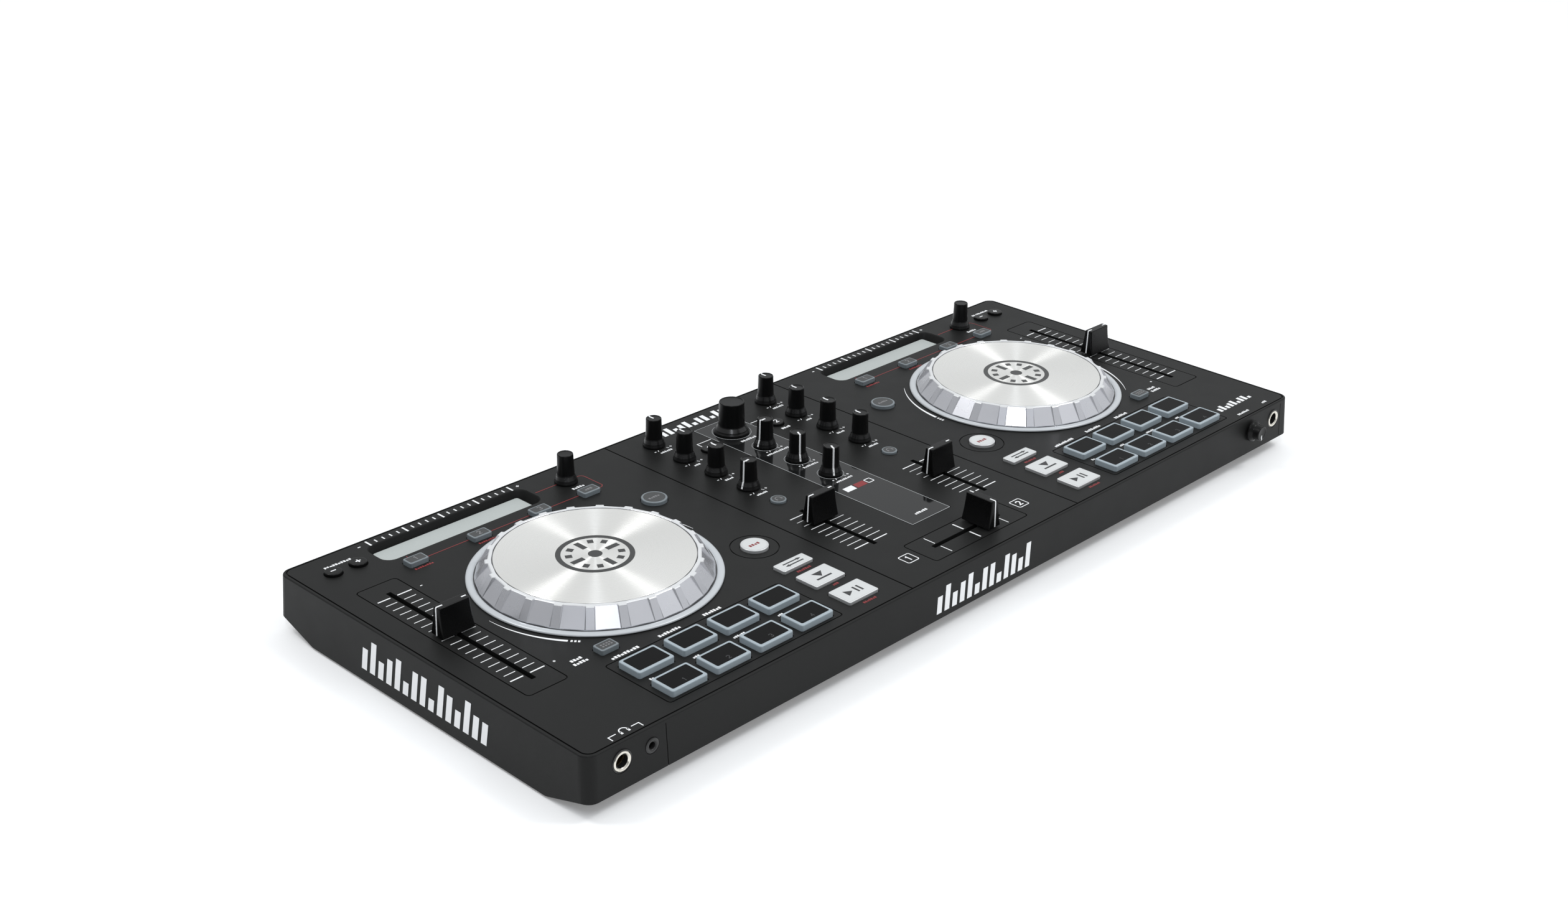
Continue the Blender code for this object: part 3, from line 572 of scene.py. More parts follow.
def caption(piece, x, y, length, height=1.7, low=INK_LOW, high=INK_HIGH):
    """A short row of blocks where a control has its caption."""
    count = max(2, round(length / (height * 0.92)))
    pitch = length / count
    for k in range(count):
        left = x - length / 2 + k * pitch
        drop = 0.0 if (k * 7 + count) % 3 else height * 0.28
        piece.slab(rectangle(left, left + pitch * 0.72, y - height / 2, y + height / 2 - drop), low, high)


def level_bars(piece, x0, x1, y0, y1, count, lean=0.0):
    """A row of level-meter bars that stand on y0."""
    pitch = (x1 - x0) / count
    for k in range(count):
        left = x0 + k * pitch
        right = left + pitch * 0.62
        top = y0 + (y1 - y0) * (0.32 + 0.68 * abs(math.sin(0.55 + 1.12 * k)))
        shift = lean * (top - y0)
        piece.slab([(left, y0), (right, y0), (right + shift, top), (left + shift, top)])


# ---- case

def case_body():
    """The top case, with every opening, groove and recess of its panel."""
    piece = Piece("case_shell")
    piece.stack(rounded_top(HALF_X, HALF_Y, CORNER_R, 0.0, EDGE_R)
                + [(HALF_X + FLARE - 0.15, HALF_Y + FLARE, CORNER_R, -WALL_DROP),
                   (HALF_X + FLARE, CHIN_Y, CORNER_R, -CASE_DROP)], steps=10)
    shell = piece.make()

    hollow = Piece("hollow")
    inner_x, inner_y = HALF_X - WALL, HALF_Y - WALL
    open_x, open_y = inner_x + FLARE + 0.1, HALF_Y + 20.0
    hollow.stack([(inner_x, inner_y, 3.0, -WALL), (inner_x + FLARE, inner_y + FLARE, 3.0, -WALL_DROP),
                  (open_x, open_y, 3.0, -WALL_DROP), (open_x, open_y, 3.0, -CASE_DROP - 5.0)], steps=2)
    carve(shell, "DIFFERENCE", hollow)

    tubs = Piece("tubs")
    for _, side in DECKS:
        tubs.prism(STRIP_HALF[0] + 2.0, STRIP_HALF[1] + 2.0, 7.0, -1.9, -STRIP_DEPTH - 1.5, strip_place(side))
    carve(shell, "UNION", tubs)

    for cutter in (panel_openings(), panel_grooves(), seams(), wall_openings()):
        carve(shell, "DIFFERENCE", cutter)
    settle(shell, "case", "case_plastic", "top_case")


def strip_place(side):
    return side * DECK_X + STRIP_OFFSET, STRIP_Y


def pad_places(side):
    """Middle of each of a deck's eight pads, back row first."""
    return [(side * DECK_X + (column - 1.5) * PAD_PITCH[0], PAD_Y + (0.5 - row) * PAD_PITCH[1])
            for row in (0, 1) for column in range(4)]


def key_size(name):
    """Half width and half depth of a key's top, inside its hidden flange."""
    half = half_size(name)
    return half.x - KEY_FLANGE, half.y - KEY_FLANGE


def panel_openings():
    piece = Piece("openings")
    piece.prism(WINDOW_HALF[0] + 0.3, WINDOW_HALF[1] + 0.3, 0.6, 2.0, -1.1, (0.0, WINDOW_Y))
    strip_x, strip_y = STRIP_HALF
    round_names = ["load_button_1", "headphone_cue_1", "load_button_2", "headphone_cue_2"]
    for deck, side in DECKS:
        piece.stack([(strip_x + 1.5, strip_y + 1.5, 6.6, 2.0),
                     (strip_x + 1.0, strip_y + 1.0, 6.1, 0.0),
                     (strip_x + 0.3, strip_y + 0.3, 5.8, -0.8),
                     (strip_x - 1.6, strip_y - 1.0, 3.6, -STRIP_DEPTH)], strip_place(side), 12)
        for name in ("sync", "cue", "play", "pad_mode", "tap", "fx1", "fx2", "fx3"):
            middle = centre_of(f"{name}_button_{deck}")
            half_x, half_y = key_size(f"{name}_button_{deck}")
            piece.prism(half_x + CLEAR, half_y + CLEAR, KEY_CORNER + CLEAR, CUT_HIGH, CUT_LOW,
                        (middle.x, middle.y), 4)
        for name in ("shift_button", "scratch_button", "pitch_bend_minus", "pitch_bend_plus"):
            round_names.append(f"{name}_{deck}")
        wheel = centre_of("jog_wheel_" + deck)
        piece.disc((wheel.x, wheel.y), WHEEL_HOLE_R, CUT_LOW, CUT_HIGH, 96)
        piece.prism(SLOT_HALF, PITCH_L / 2, 0.3, CUT_HIGH, SLOT_LOW, (side * PITCH_X, PITCH_Y), 2)
        piece.prism(SLOT_HALF, CHANNEL_L / 2, 0.3, CUT_HIGH, SLOT_LOW, (side * COLUMN_X, CHANNEL_Y), 2)
        for place in pad_places(side):
            piece.prism(PAD_HALF[0] + CLEAR, PAD_HALF[1] + CLEAR, 1.1, CUT_HIGH, CUT_LOW, place, 4)
    for name in round_names:
        middle = centre_of(name)
        piece.disc((middle.x, middle.y), key_size(name)[0] + CLEAR, CUT_LOW, CUT_HIGH, HOLE_STEPS)
    piece.prism(CROSS_L / 2, SLOT_HALF, 0.3, CUT_HIGH, SLOT_LOW, (0.0, CROSS_Y), 2)
    return piece


def panel_grooves():
    piece = Piece("grooves")
    piece.frame((0.0, 0.0), *RIM, GROOVE_W, -GROOVE_D, 2.0, 8)
    fine = (FINE_GROOVE_W, -GROOVE_D, 2.0, 5)
    for _, side in DECKS:
        piece.frame((side * PITCH_X, PITCH_Y), *PITCH_FRAME, *fine)
        piece.frame((side * DECK_X, PAD_FRAME_Y), *PAD_FRAME, *fine)
        piece.ring((side * SIDE_KEY_X, SHIFT_Y), *SHIFT_RING, -GROOVE_D, 2.0)
    piece.frame((0.0, CROSS_Y), *CROSS_FRAME, *fine)
    return piece


def seams():
    """Straight grooves beside the mixer and down the front wall."""
    piece = Piece("seams")
    half = RIM[1] - GROOVE_W / 2
    for x in (-MIXER_X, MIXER_X):
        piece.slab(rectangle(x - GROOVE_W / 2, x + GROOVE_W / 2, -half, half), -GROOVE_D, 1.0)
    for x in WALL_SEAMS:
        rings = []
        for lean, z in ((0.1, -2.0), (FLARE, -WALL_DROP)):
            outline = rectangle(x - 0.2, x + 0.2, -HALF_Y - 5.0, 0.35 - HALF_Y - lean)
            rings.append([(px, py, z) for px, py in outline])
        piece.skin(rings)
    return piece


def wall_openings():
    """Cutters through the front wall for the sockets and the microphone knob, and through the rear."""
    front = (-HALF_Y - 6.0, -HALF_Y + 4.0)
    rear = (HALF_Y - 6.0, HALF_Y + 6.0)
    cuts = [(x, JACK_Z, circle(radius), front) for x, radius in SOCKETS.values()]
    for place, half in ((USB, USB_HOLE), (PHONO, PHONO_HOLE)):
        cuts.append((*place, rounded_outline(*half, 0.6, 3), rear))
    piece = Piece("sockets")
    for x, z, outline, ends in cuts:
        piece.skin([[(x + px, y, z + pz) for px, pz in outline] for y in ends])
    return piece


def case_base():
    """The tray that closes the case, with its screw wells and vents."""
    rise = CASE_DROP - WALL_DROP - 0.3
    run = (HALF_Y + FLARE - CHIN_Y) * rise / (CASE_DROP - WALL_DROP)
    slope = math.hypot(rise, run) / rise * WALL
    half_x = HALF_X - WALL + FLARE - 0.3
    half_y = CHIN_Y + run
    top = -CASE_DROP + rise
    piece = Piece("case_tray")
    piece.stack([(half_x, half_y, 1.2, top), (half_x, CHIN_Y, 1.2, -CASE_DROP)], steps=3)
    tray = piece.make()
    hollow = Piece("tray_hollow")
    hollow.stack([(half_x + 5.0, half_y - slope + 8.0, 1.0, top + 2.0),
                  (half_x + 5.0, half_y - slope, 1.0, top),
                  (half_x + 5.0, CHIN_Y - 0.4, 1.0, -CASE_DROP + WALL)], steps=2)
    carve(tray, "DIFFERENCE", hollow)
    wells = Piece("wells")
    below = -CASE_DROP - 1.0
    for x in SCREW_X:
        for y in SCREW_Y:
            wells.disc((x, y), 4.2, below, -CASE_DROP + 1.4, 48)
    for k in range(VENTS):
        for side in (-1, 1):
            x = side * VENT_X + (k - VENTS // 2) * VENT_PITCH
            wells.prism(1.2, 12.0, 1.1, -CASE_DROP + 4.0, below, (x, 0.0), 5)
    carve(tray, "DIFFERENCE", wells)
    settle(tray, "case", "case_plastic", "bottom_case")


def screw_radius(r, _, angle):
    """The well in a screw's head has four lobes."""
    return r * (1.0 + 0.3 * math.cos(4 * angle)) if r < 1.4 else r


def feet_and_screws():
    for row, y in enumerate(FOOT_Y):
        for column, x in enumerate(FOOT_X):
            foot = Piece(f"rubber_foot_{row}_{column}", (x, y, FLOOR_Z), FOOT_RUBBER)
            foot.lathe([(0, 1.7), (7.0, 1.7), (7.2, 1.4), (7.0, 0.3), (6.6, 0.0), (4.2, 0.0), (3.8, 0.35),
                        (0, 0.35)], 48)
            foot.add("case", "foot_rubber")
    for row, y in enumerate(SCREW_Y):
        for column, x in enumerate(SCREW_X):
            screw = Piece(f"case_screw_{row}_{column}", (x, y, -CASE_DROP + 1.3), STEEL)
            screw.lathe([(0, 0.0), (2.9, 0.0), (3.1, -0.3), (2.6, -1.0), (1.5, -1.2), (1.3, -1.15),
                         (1.1, -0.5), (0, -0.5)], 36, radius=screw_radius)
            screw.add("case", "screw_steel")


# ---- static pieces on the panel

def touch_strips():
    for deck, _ in DECKS:
        node_name = "touch_strip_" + deck
        half_x, half_y, half_z = half_size(node_name)
        strip = Piece("touch_strip_film_" + deck, centre_of(node_name), STRIP_PALE)
        strip.stack([(half_x - 0.5, half_y - 0.5, 1.2, half_z),
                     (half_x - 0.15, half_y - 0.15, 1.4, half_z - 0.12),
                     (half_x, half_y, 1.5, half_z - 0.4), (half_x, half_y, 1.5, -half_z)])
        strip.add("case", "touch_strip", node_name)


def wall_frame(turn, lean=0.0):
    """Turns a flat mark to stand on a wall: x along the wall, y up it."""
    return Matrix.Rotation(turn, 4, "Z") @ Matrix.Rotation(math.radians(90) + lean, 4, "X")


def jack_rings():
    front = -HALF_Y - FLARE * -JACK_Z / WALL_DROP
    facing = wall_frame(0.0)
    for name in ("headphone_large", "mic"):
        ring = Piece(f"{name}_socket_ring", (SOCKETS[name][0], front, JACK_Z), SOCKET_BLACK)
        ring.lathe([(5.4, 0.1), (5.5, -0.1), (5.5, -3.0), (4.8, -3.0), (4.8, 0.0), (4.95, 0.15)], wrap=True)
        ring.use(NICKEL).lathe([(3.5, 0.15), (3.9, 0.45), (4.5, 0.45), (4.75, 0.2), (4.75, -2.5),
                                (3.25, -2.5), (3.25, -0.2)], wrap=True)
        ring.use(BRASS).lathe([(3.15, -3.0), (3.15, -9.0), (2.95, -9.0), (2.95, -3.0)], 32, wrap=True)
        ring.add("case", "bright_metal", frame_matrix=facing)
    name = "headphone_small"
    ring = Piece(f"{name}_socket_ring", (SOCKETS[name][0], front, JACK_Z), SOCKET_BLACK)
    ring.lathe([(2.2, 0.2), (2.6, 0.4), (3.2, 0.4), (3.7, 0.1), (3.7, -2.5), (1.85, -2.5), (1.85, -0.3)],
               wrap=True)
    ring.add("case", "socket_plastic", frame_matrix=facing)


def rear_sockets():
    facing = wall_frame(math.pi)
    shell = Piece("usb_socket_shell", (USB[0], HALF_Y + FLARE * 0.5, USB[1]), NICKEL)
    shell.frame((0.0, 0.0), 4.45, 4.15, 0.6, 0.4, -3.0, 0.15)
    shell.use(SOCKET_BLACK).prism(2.7, 1.6, 0.3, -1.5, -7.0)
    shell.add("case", "bright_metal", frame_matrix=facing)
    for number, step, ink in ((1, -PHONO_STEP, RED_INK), (2, PHONO_STEP, WHITE_INK)):
        phono = Piece(f"phono_socket_ring_{number}", (PHONO[0] + step, HALF_Y - 0.4, PHONO[1]), NICKEL)
        phono.lathe([(3.9, 0.15), (4.2, 0.15), (4.4, -0.1), (4.4, -8.0), (3.2, -8.0), (3.2, -0.1)], 48,
                    wrap=True)
        phono.use(ink).lathe([(3.1, -0.4), (3.1, -7.0), (1.75, -7.0), (1.75, -0.4)], 48, wrap=True)
        phono.add("case", "bright_metal", frame_matrix=facing)


# ---- jog wheels

RIBS = 22
RIB_WIDTH = 5.0              # degrees
RIB_START = -5.0
RIB_RAMP = 0.45
RIB_RISE = 1.4
RIB_FOOT = 1.5               # the ribs rise from here
CONE_LOW_R = 58.0
JOG_TOP = 10.5
DISC_TOP = JOG_TOP - 0.1


def jog_angles():
    """Directions of the cone's corners: the foot and crest of both flanks of every rib."""
    angles = []
    for k in range(RIBS):
        start = 360.0 * k / RIBS + RIB_START
        angles += [start, start + RIB_RAMP, start + RIB_WIDTH - RIB_RAMP, start + RIB_WIDTH]
    return [math.radians(a) for a in angles]


def ribbed(r, z, angle):
    """Radius of the cone's side, which its ribs leave proud, more so towards the top."""
    if r < 50.5 or r > CONE_LOW_R + 0.05 or z < RIB_FOOT:
        return r
    place = (math.degrees(angle) - RIB_START) % (360.0 / RIBS)
    on_rib = RIB_RAMP * 0.9 < place < RIB_WIDTH - RIB_RAMP * 0.9
    return r + (RIB_RISE * (z - RIB_FOOT) / (JOG_TOP - RIB_FOOT) if on_rib else 0.0)


def jog_wheels():
    for name, _ in DECKS:
        node_name = "jog_wheel_" + name
        middle = centre_of(node_name)
        shaft_end = lowest(node_name)
        centre = (middle.x, middle.y, 0.0)
        angles = jog_angles()
        wheel = Piece("jog_platter_" + name, centre, JOG_SILVER)
        wheel.lathe([(0, 10.1), (49.3, 10.1), (49.35, 10.3), (49.6, JOG_TOP), (50.9, JOG_TOP), (51.3, 10.2),
                     (CONE_LOW_R, 1.6), (CONE_LOW_R, 0.4), (55.0, 0.4), (49.5, 7.6), (6.0, 7.6), (6.0, -8.8),
                     (18.0, -8.8), (18.0, shaft_end), (0, shaft_end)], angles=angles, radius=ribbed)
        lip_top = JOG_TOP + 0.03
        wheel.use(JOG_LIP).lathe([(49.45, 10.35), (49.62, lip_top), (50.95, lip_top), (51.37, 10.2),
                                  (50.6, 10.0), (49.45, 10.0)], angles=angles, radius=ribbed, wrap=True)
        wheel.add(node_name, "jog_silver", node_name, sharp=14.0)

        rim = Piece("jog_rim_" + name, centre, JOG_RIM)
        rim.lathe([(58.9, 1.25), (59.6, 1.5), (60.6, 1.6), (61.6, 1.45), (62.15, 1.1), (62.3, 0.7),
                   (62.3, 0.4), (57.9, 0.4), (57.9, 0.7), (58.5, 0.8)], 192, wrap=True)
        # a dark ring in the gap between the cone and the rim: painted shade where the platter's skirt shades
        # that gap
        rim.use(EMBLEM_INK_AND_GAP_SHADE).ring((0.0, 0.0), 57.9, 58.75, low=0.45, high=0.9, steps=192)
        rim.add(node_name, "jog_silver", sharp=60.0)

        disc = Piece("jog_disc_" + name, centre, JOG_DISC)
        disc.lathe([(0, DISC_TOP), (48.7, DISC_TOP), (48.9, DISC_TOP - 0.1), (48.95, 10.0), (0, 10.0)], 256)
        disc.add(node_name, "jog_silver", sharp=15.0)

        emblem = Piece("jog_emblem_" + name, (middle.x, middle.y, DISC_TOP), EMBLEM_INK_AND_GAP_SHADE)
        emblem.ring((0.0, 0.0), 16.6, 19.2, high=0.05, steps=128)
        emblem.disc((0.0, 0.0), 3.5, high=0.05, steps=48)
        for k in range(12):
            turn = math.tau * k / 12
            ends = (7.2, 14.6) if k % 3 == 0 else (11.2, 14.6)
            emblem.line([(r * math.cos(turn), r * math.sin(turn)) for r in ends], 3.0, high=0.05)
        # a dark ring filling the gap between the disc and the lip: painted shade in that gap
        emblem.ring((0.0, 0.0), 49.0, 49.32, low=-0.3, high=-0.02, steps=192)
        emblem.add(node_name, "gloss_black")


# ---- knobs

POINTERS = {"filter_knob_1": 190.0, "master_gain_knob": 185.0, "cue_mix_knob": 241.0, "cue_gain_knob": 241.0}
NO_POINTER = ("beats_knob_left", "beats_knob_right", "browse_knob")


def knob(node_name, height, radius, flange):
    """Rubber grip, glossy neck and flared skirt, on a shaft."""
    middle = centre_of(node_name)
    shaft_end = lowest(node_name)
    grip_low = radius + 0.35
    neck = grip_low + (flange - grip_low) * 0.62
    side = [(radius - 0.85, height - 0.35), (radius - 0.62, height - 0.1), (radius - 0.35, height),
            (radius - 0.12, height - 0.14), (radius, height - 0.5), (radius + 0.12, height * 0.65),
            (grip_low, 5.1), (grip_low + 0.1, 4.75), (grip_low + 0.35, 4.5), (neck, 2.5), (neck + 0.1, 2.25),
            (neck + 0.2, 1.9), (flange - 0.15, 1.3), (flange, 1.0), (flange, 0.4)]
    piece = Piece(node_name + "_cap", (middle.x, middle.y, 0.0), KNOB_RUBBER)
    piece.lathe([(0, height - 0.4), (radius - 1.1, height - 0.4)] + side
                + [(SHAFT_R, 0.4), (SHAFT_R, shaft_end), (0, shaft_end)], 72)
    piece.use(KNOB_GLOSS).lathe([(grip_low + 0.38, 4.5), (neck + 0.06, 2.55), (neck - 0.3, 2.5),
                                 (grip_low, 4.5)], 72, wrap=True)
    if node_name not in NO_POINTER:
        path = [(0.1, height - 0.36), (radius - 1.1, height - 0.36)] + side[:-2]
        piece.use(WHITE_INK).ribbon(path, 0.95, math.radians(POINTERS.get(node_name, 90.0)))
    piece.add(node_name, "gloss_black", node_name, sharp=50.0)


def knobs():
    for channel in (1, 2):
        for band in ("treble", "mid", "bass", "filter"):
            knob(f"{band}_knob_{channel}", *KNOB_SIZE)
    for name in ("master_gain", "cue_mix", "cue_gain"):
        knob(name + "_knob", *KNOB_SIZE)
    for deck, _ in DECKS:
        knob("beats_knob_" + deck, *KNOB_SIZE)
    knob("browse_knob", *BROWSE_SIZE)


def mic_knob():
    name = "mic_gain_knob"
    low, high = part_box(name)
    wall = HALF_Y + FLARE
    reach = -(low.y - PANEL.y) / MM - wall
    inner = -(high.y - PANEL.y) / MM - wall
    side = [(3.9, reach), (4.2, reach - 0.15), (4.35, reach - 0.5), (4.5, 3.2), (4.9, 2.4), (5.9, 1.5),
            (6.15, 1.0), (6.2, 0.4)]
    piece = Piece(name + "_cap", (centre_of(name).x, -wall, JACK_Z), KNOB_RUBBER)
    piece.lathe([(0, reach - 0.25), (3.3, reach - 0.25), (3.6, reach - 0.05)] + side
                + [(SHAFT_R, 0.4), (SHAFT_R, inner), (0, inner)], 64)
    path = [(1.2, reach - 0.23), (3.3, reach - 0.23), (3.6, reach - 0.05)] + side[:-1]
    piece.use(WHITE_INK).ribbon(path, 0.9, math.radians(-90))
    piece.add(name, "gloss_black", name, frame_matrix=wall_frame(0.0), sharp=50.0)


# ---- keys and pads

def rounded_top(half_x, half_y, corner, height, edge, steps=4):
    """Sections from a flat top down round its edge."""
    sections = []
    for step in range(steps + 1):
        angle = math.radians(90 * step / steps)
        inset = edge * (1 - math.sin(angle))
        drop = edge * (1 - math.cos(angle))
        sections.append((half_x - inset, half_y - inset, max(corner - inset, 0.2), height - drop))
    return sections


def square_key(node_name, corner, side, face, mark, border=0.9):
    """A key on its hidden flange and stem, with a flat inset face and a printed mark."""
    middle = centre_of(node_name)
    half_x, half_y = key_size(node_name)
    height, stem_end = highest(node_name), lowest(node_name)
    piece = Piece(node_name + "_cap", (middle.x, middle.y, 0.0), side)
    flange = (half_x + KEY_FLANGE, half_y + KEY_FLANGE, corner)
    piece.stack(rounded_top(half_x, half_y, corner + 0.3, height, KEY_EDGE)
                + [(half_x, half_y, corner + 0.3, FLANGE_TOP), (*flange, FLANGE_TOP), (*flange, FLANGE_LOW),
                   (STEM, STEM, 0.4, FLANGE_LOW), (STEM, STEM, 0.4, stem_end)])
    piece.use(face).prism(half_x - border, half_y - border, corner, height + FACE_PROUD, height - FACE_SUNK)
    mark(piece, height + MARK_LOW, height + MARK_HIGH)
    piece.add(node_name, "silver_key" if side is SILVER else "smoke_key", node_name)


def round_key(node_name, side, face, mark, border=0.9, dish=0.0):
    """A round key, its face sunk by dish."""
    middle = centre_of(node_name)
    radius = key_size(node_name)[0]
    flange = radius + KEY_FLANGE
    face_r = radius - border - 0.4
    height, stem_end = highest(node_name), lowest(node_name)
    face_z = height - dish
    edge = [(r, z) for r, _, _, z in rounded_top(radius, radius, KEY_EDGE, height, KEY_EDGE)]
    piece = Piece(node_name + "_cap", (middle.x, middle.y, 0.0), side)
    piece.lathe([(0, face_z), (face_r, face_z)] + edge
                + [(radius, FLANGE_TOP), (flange, FLANGE_TOP), (flange, FLANGE_LOW), (STEM, FLANGE_LOW),
                   (STEM, stem_end), (0, stem_end)], 56)
    piece.use(face).disc((0.0, 0.0), face_r, face_z - FACE_SUNK, face_z + FACE_PROUD, 56)
    mark(piece, face_z + MARK_LOW, face_z + MARK_HIGH)
    slot = {SILVER: "silver_key", SMOKE: "smoke_key"}.get(side, "gloss_black")
    piece.add(node_name, slot, node_name)


def digit_mark(text, size, ink):
    def draw(piece, low, high):
        piece.use(ink)
        sign(piece, text, 0.0, 0.0, size, 0.16, low, high)
    return draw


def caption_mark(length, height, ink):
    def draw(piece, low, high):
        caption(piece.use(ink), 0.0, 0.0, length, height, low, high)
    return draw


def play_mark(piece, low, high):
    piece.use(DARK_INK)
    piece.slab([(-5.2, -2.6), (-0.8, 0.0), (-5.2, 2.6)], low, high)
    for x in (1.6, 4.2):
        piece.line([(x, -2.6), (x, 2.6)], 1.15, low, high)


def cue_mark(piece, low, high):
    """A marker over a line, for the cue point."""
    piece.use(DARK_INK)
    piece.slab([(-3.4, 3.1), (0.0, -1.2), (3.4, 3.1)], low, high)
    piece.line([(-5.0, -2.6), (5.0, -2.6)], 1.15, low, high)


def sync_mark(piece, low, high):
    """Two opposed arrows, for matching the decks."""
    piece.use(DARK_INK)
    for flip in (1, -1):
        piece.line([(-6.0 * flip, 1.15 * flip), (3.4 * flip, 1.15 * flip)], 0.85, low, high)
        head = [(3.4 * flip, 0.1 * flip), (6.2 * flip, 1.15 * flip), (3.4 * flip, 2.2 * flip)]
        piece.slab(head, low, high)


def grid_mark(piece, low, high):
    """Eight small pads, for the pad mode key."""
    piece.use(GREY_INK)
    for k in range(4):
        for y in (-0.8, 0.8):
            piece.line([(-2.75 + 1.65 * k, y), (-1.75 + 1.65 * k, y)], 0.9, low, high)


def monitor_mark(piece, low, high):
    """A small headphone outline."""
    piece.use(GREY_INK)
    piece.arc((0.0, 0.0), 1.7, 0, 180, (0.45, 0.45), low, high, 16)
    for x in (-1.7, 1.7):
        piece.line([(x, 0.0), (x, -1.3)], 0.9, low, high)


def keys():
    for deck, _ in DECKS:
        for number in ("1", "2", "3"):
            square_key(f"fx{number}_button_{deck}", 0.8, SMOKE, SMOKE_FACE, digit_mark(number, 3.2, GREY_INK))
        square_key("tap_button_" + deck, 0.8, SMOKE, SMOKE_FACE, caption_mark(5.0, 1.7, GREY_INK))
        square_key("pad_mode_button_" + deck, 0.8, SMOKE, SMOKE_FACE, grid_mark)
        for name, mark in (("sync", sync_mark), ("cue", cue_mark), ("play", play_mark)):
            square_key(f"{name}_button_{deck}", 0.6, SILVER, SILVER_FACE, mark, 0.7)
        round_key("shift_button_" + deck, SILVER, SILVER_FACE, caption_mark(7.0, 1.9, RED_INK), 0.8, 0.15)
        round_key("scratch_button_" + deck, SMOKE, SMOKE_FACE, caption_mark(7.4, 1.5, GREY_INK), 0.7)
        for name, text in (("minus", "-"), ("plus", "+")):
            mark = digit_mark(text, 4.4, WHITE_INK)
            round_key(f"pitch_bend_{name}_{deck}", KNOB_RUBBER, CAP_PLASTIC, mark, 0.5)
    for channel in (1, 2):
        mark = digit_mark(str(channel), 3.6, WHITE_INK)
        round_key(f"load_button_{channel}", KNOB_RUBBER, CAP_PLASTIC, mark, 0.5)
        round_key(f"headphone_cue_{channel}", SMOKE, SMOKE_FACE, monitor_mark, 0.4)


def pads():
    """Each deck's eight pads are one moulding, joined by a web under the panel."""
    web_low, post_end = FLANGE_TOP - 1.0, -12.0
    half_x, half_y = PAD_HALF
    for deck, side in DECKS:
        node_name = "pad_mat_" + deck
        mat = Piece("pad_set_" + deck, (side * DECK_X, PAD_Y, 0.0), PAD_SIDE)
        mat.prism(2 * PAD_PITCH[0] + 0.2, PAD_PITCH[1] + 0.2, 1.0, FLANGE_TOP, web_low)
        for k, (x, y) in enumerate(pad_places(side)):
            centre = (x - side * DECK_X, y - PAD_Y)
            mat.use(PAD_SIDE)
            mat.stack(rounded_top(half_x, half_y, 1.3, PAD_H, 0.6, 5)
                      + [(half_x, half_y, 1.3, FLANGE_TOP - 0.2)], centre)
            mat.prism(STEM, STEM, 0.4, web_low + 0.2, post_end, centre, 2)
            mat.use(PAD_FACE)
            mat.prism(half_x - 1.5, half_y - 1.5, 0.8, PAD_H + FACE_PROUD, PAD_H - FACE_SUNK, centre)
            if k >= 4:
                mat.use(DARK_INK)
                sign(mat, str(k - 3), centre[0], centre[1] - 3.2, 2.6, 0.16,
                     PAD_H + MARK_LOW, PAD_H + INK_HIGH)
        mat.add(node_name, "pad_silicone", node_name)


# ---- faders

CAP_TOP = 15.7
CAP_LOW = 1.2
CAP_EDGE = 0.5
CAP_STEPS = 8


def cap_half(z):
    """Half width and half depth of a fader cap at a height."""
    down = (CAP_TOP - z) / (CAP_TOP - CAP_LOW)
    return 8.7 + 0.5 * down, 2.4 + 2.3 * down ** 1.6


def fader(node_name, turn=None):
    """A cap that widens towards its foot, with a white line, on a stem."""
    middle = centre_of(node_name)
    piece = Piece(node_name + "_cap", (middle.x, middle.y, 0.0), CAP_PLASTIC)
    shoulder = CAP_TOP - CAP_EDGE
    top_x, top_y = cap_half(shoulder)
    sections = rounded_top(top_x, top_y, 0.9, CAP_TOP, CAP_EDGE)
    for step in range(1, CAP_STEPS + 1):
        z = shoulder - (shoulder - CAP_LOW) * step / CAP_STEPS
        sections.append((*cap_half(z), 0.9, z))
    piece.stack(sections)
    piece.use(BRASS).prism(0.55, 1.7, 0.15, CAP_LOW + 0.5, 0.4, steps=2)
    piece.use(STEEL).prism(0.7, 2.0, 0.2, CAP_LOW + 0.2, lowest(node_name), steps=2)
    path = [(top_x - 3.6, CAP_TOP), (top_x - 0.5, CAP_TOP), (top_x - 0.12, CAP_TOP - 0.15)]
    path += [(cap_half(z)[0], z) for z in (CAP_TOP - 0.55, 12.0, 9.0, 6.0, 3.5, CAP_LOW + 0.1)]
    piece.use(WHITE_INK).ribbon(path, 0.8, math.pi)
    piece.ribbon([(top_x - 3.2, CAP_TOP), (top_x - 0.6, CAP_TOP)], 0.8, 0.0)
    piece.add(node_name, "gloss_black", node_name, frame_matrix=turn, sharp=50.0)


def faders():
    for name in ("pitch_fader_left", "pitch_fader_right", "channel_fader_1", "channel_fader_2"):
        fader(name)
    fader("crossfader", Matrix.Rotation(math.radians(90), 4, "Z"))


# ---- printing

def pitch_scale(ink, side):
    x = side * PITCH_X
    pitch = 5.45
    for k in range(-9, 10):
        y = PITCH_Y + k * pitch
        end = abs(k) == 9
        long = end or k == 0
        width = 0.75 if end else 0.45
        ink.line([(x - (9.3 if long else 8.5), y), (x - 2.2, y)], width)
        ink.line([(x + 1.8, y), (x + (9.9 if long else 8.5), y)], width)
    for y, text in ((-43.6, "+"), (54.4, "-")):
        sign(ink, text, side * (PITCH_X - 15.5), y, 1.9, 0.3)


def channel_scale(ink, side):
    x = side * COLUMN_X
    top, pitch = -20.4, 4.94
    for k in range(10):
        y = top - pitch * k
        width = 0.7 if k in (0, 9) else 0.42
        for direction in (-1, 1):
            ink.line([(x + direction * 1.9, y), (x + direction * 12.0, y)], width)


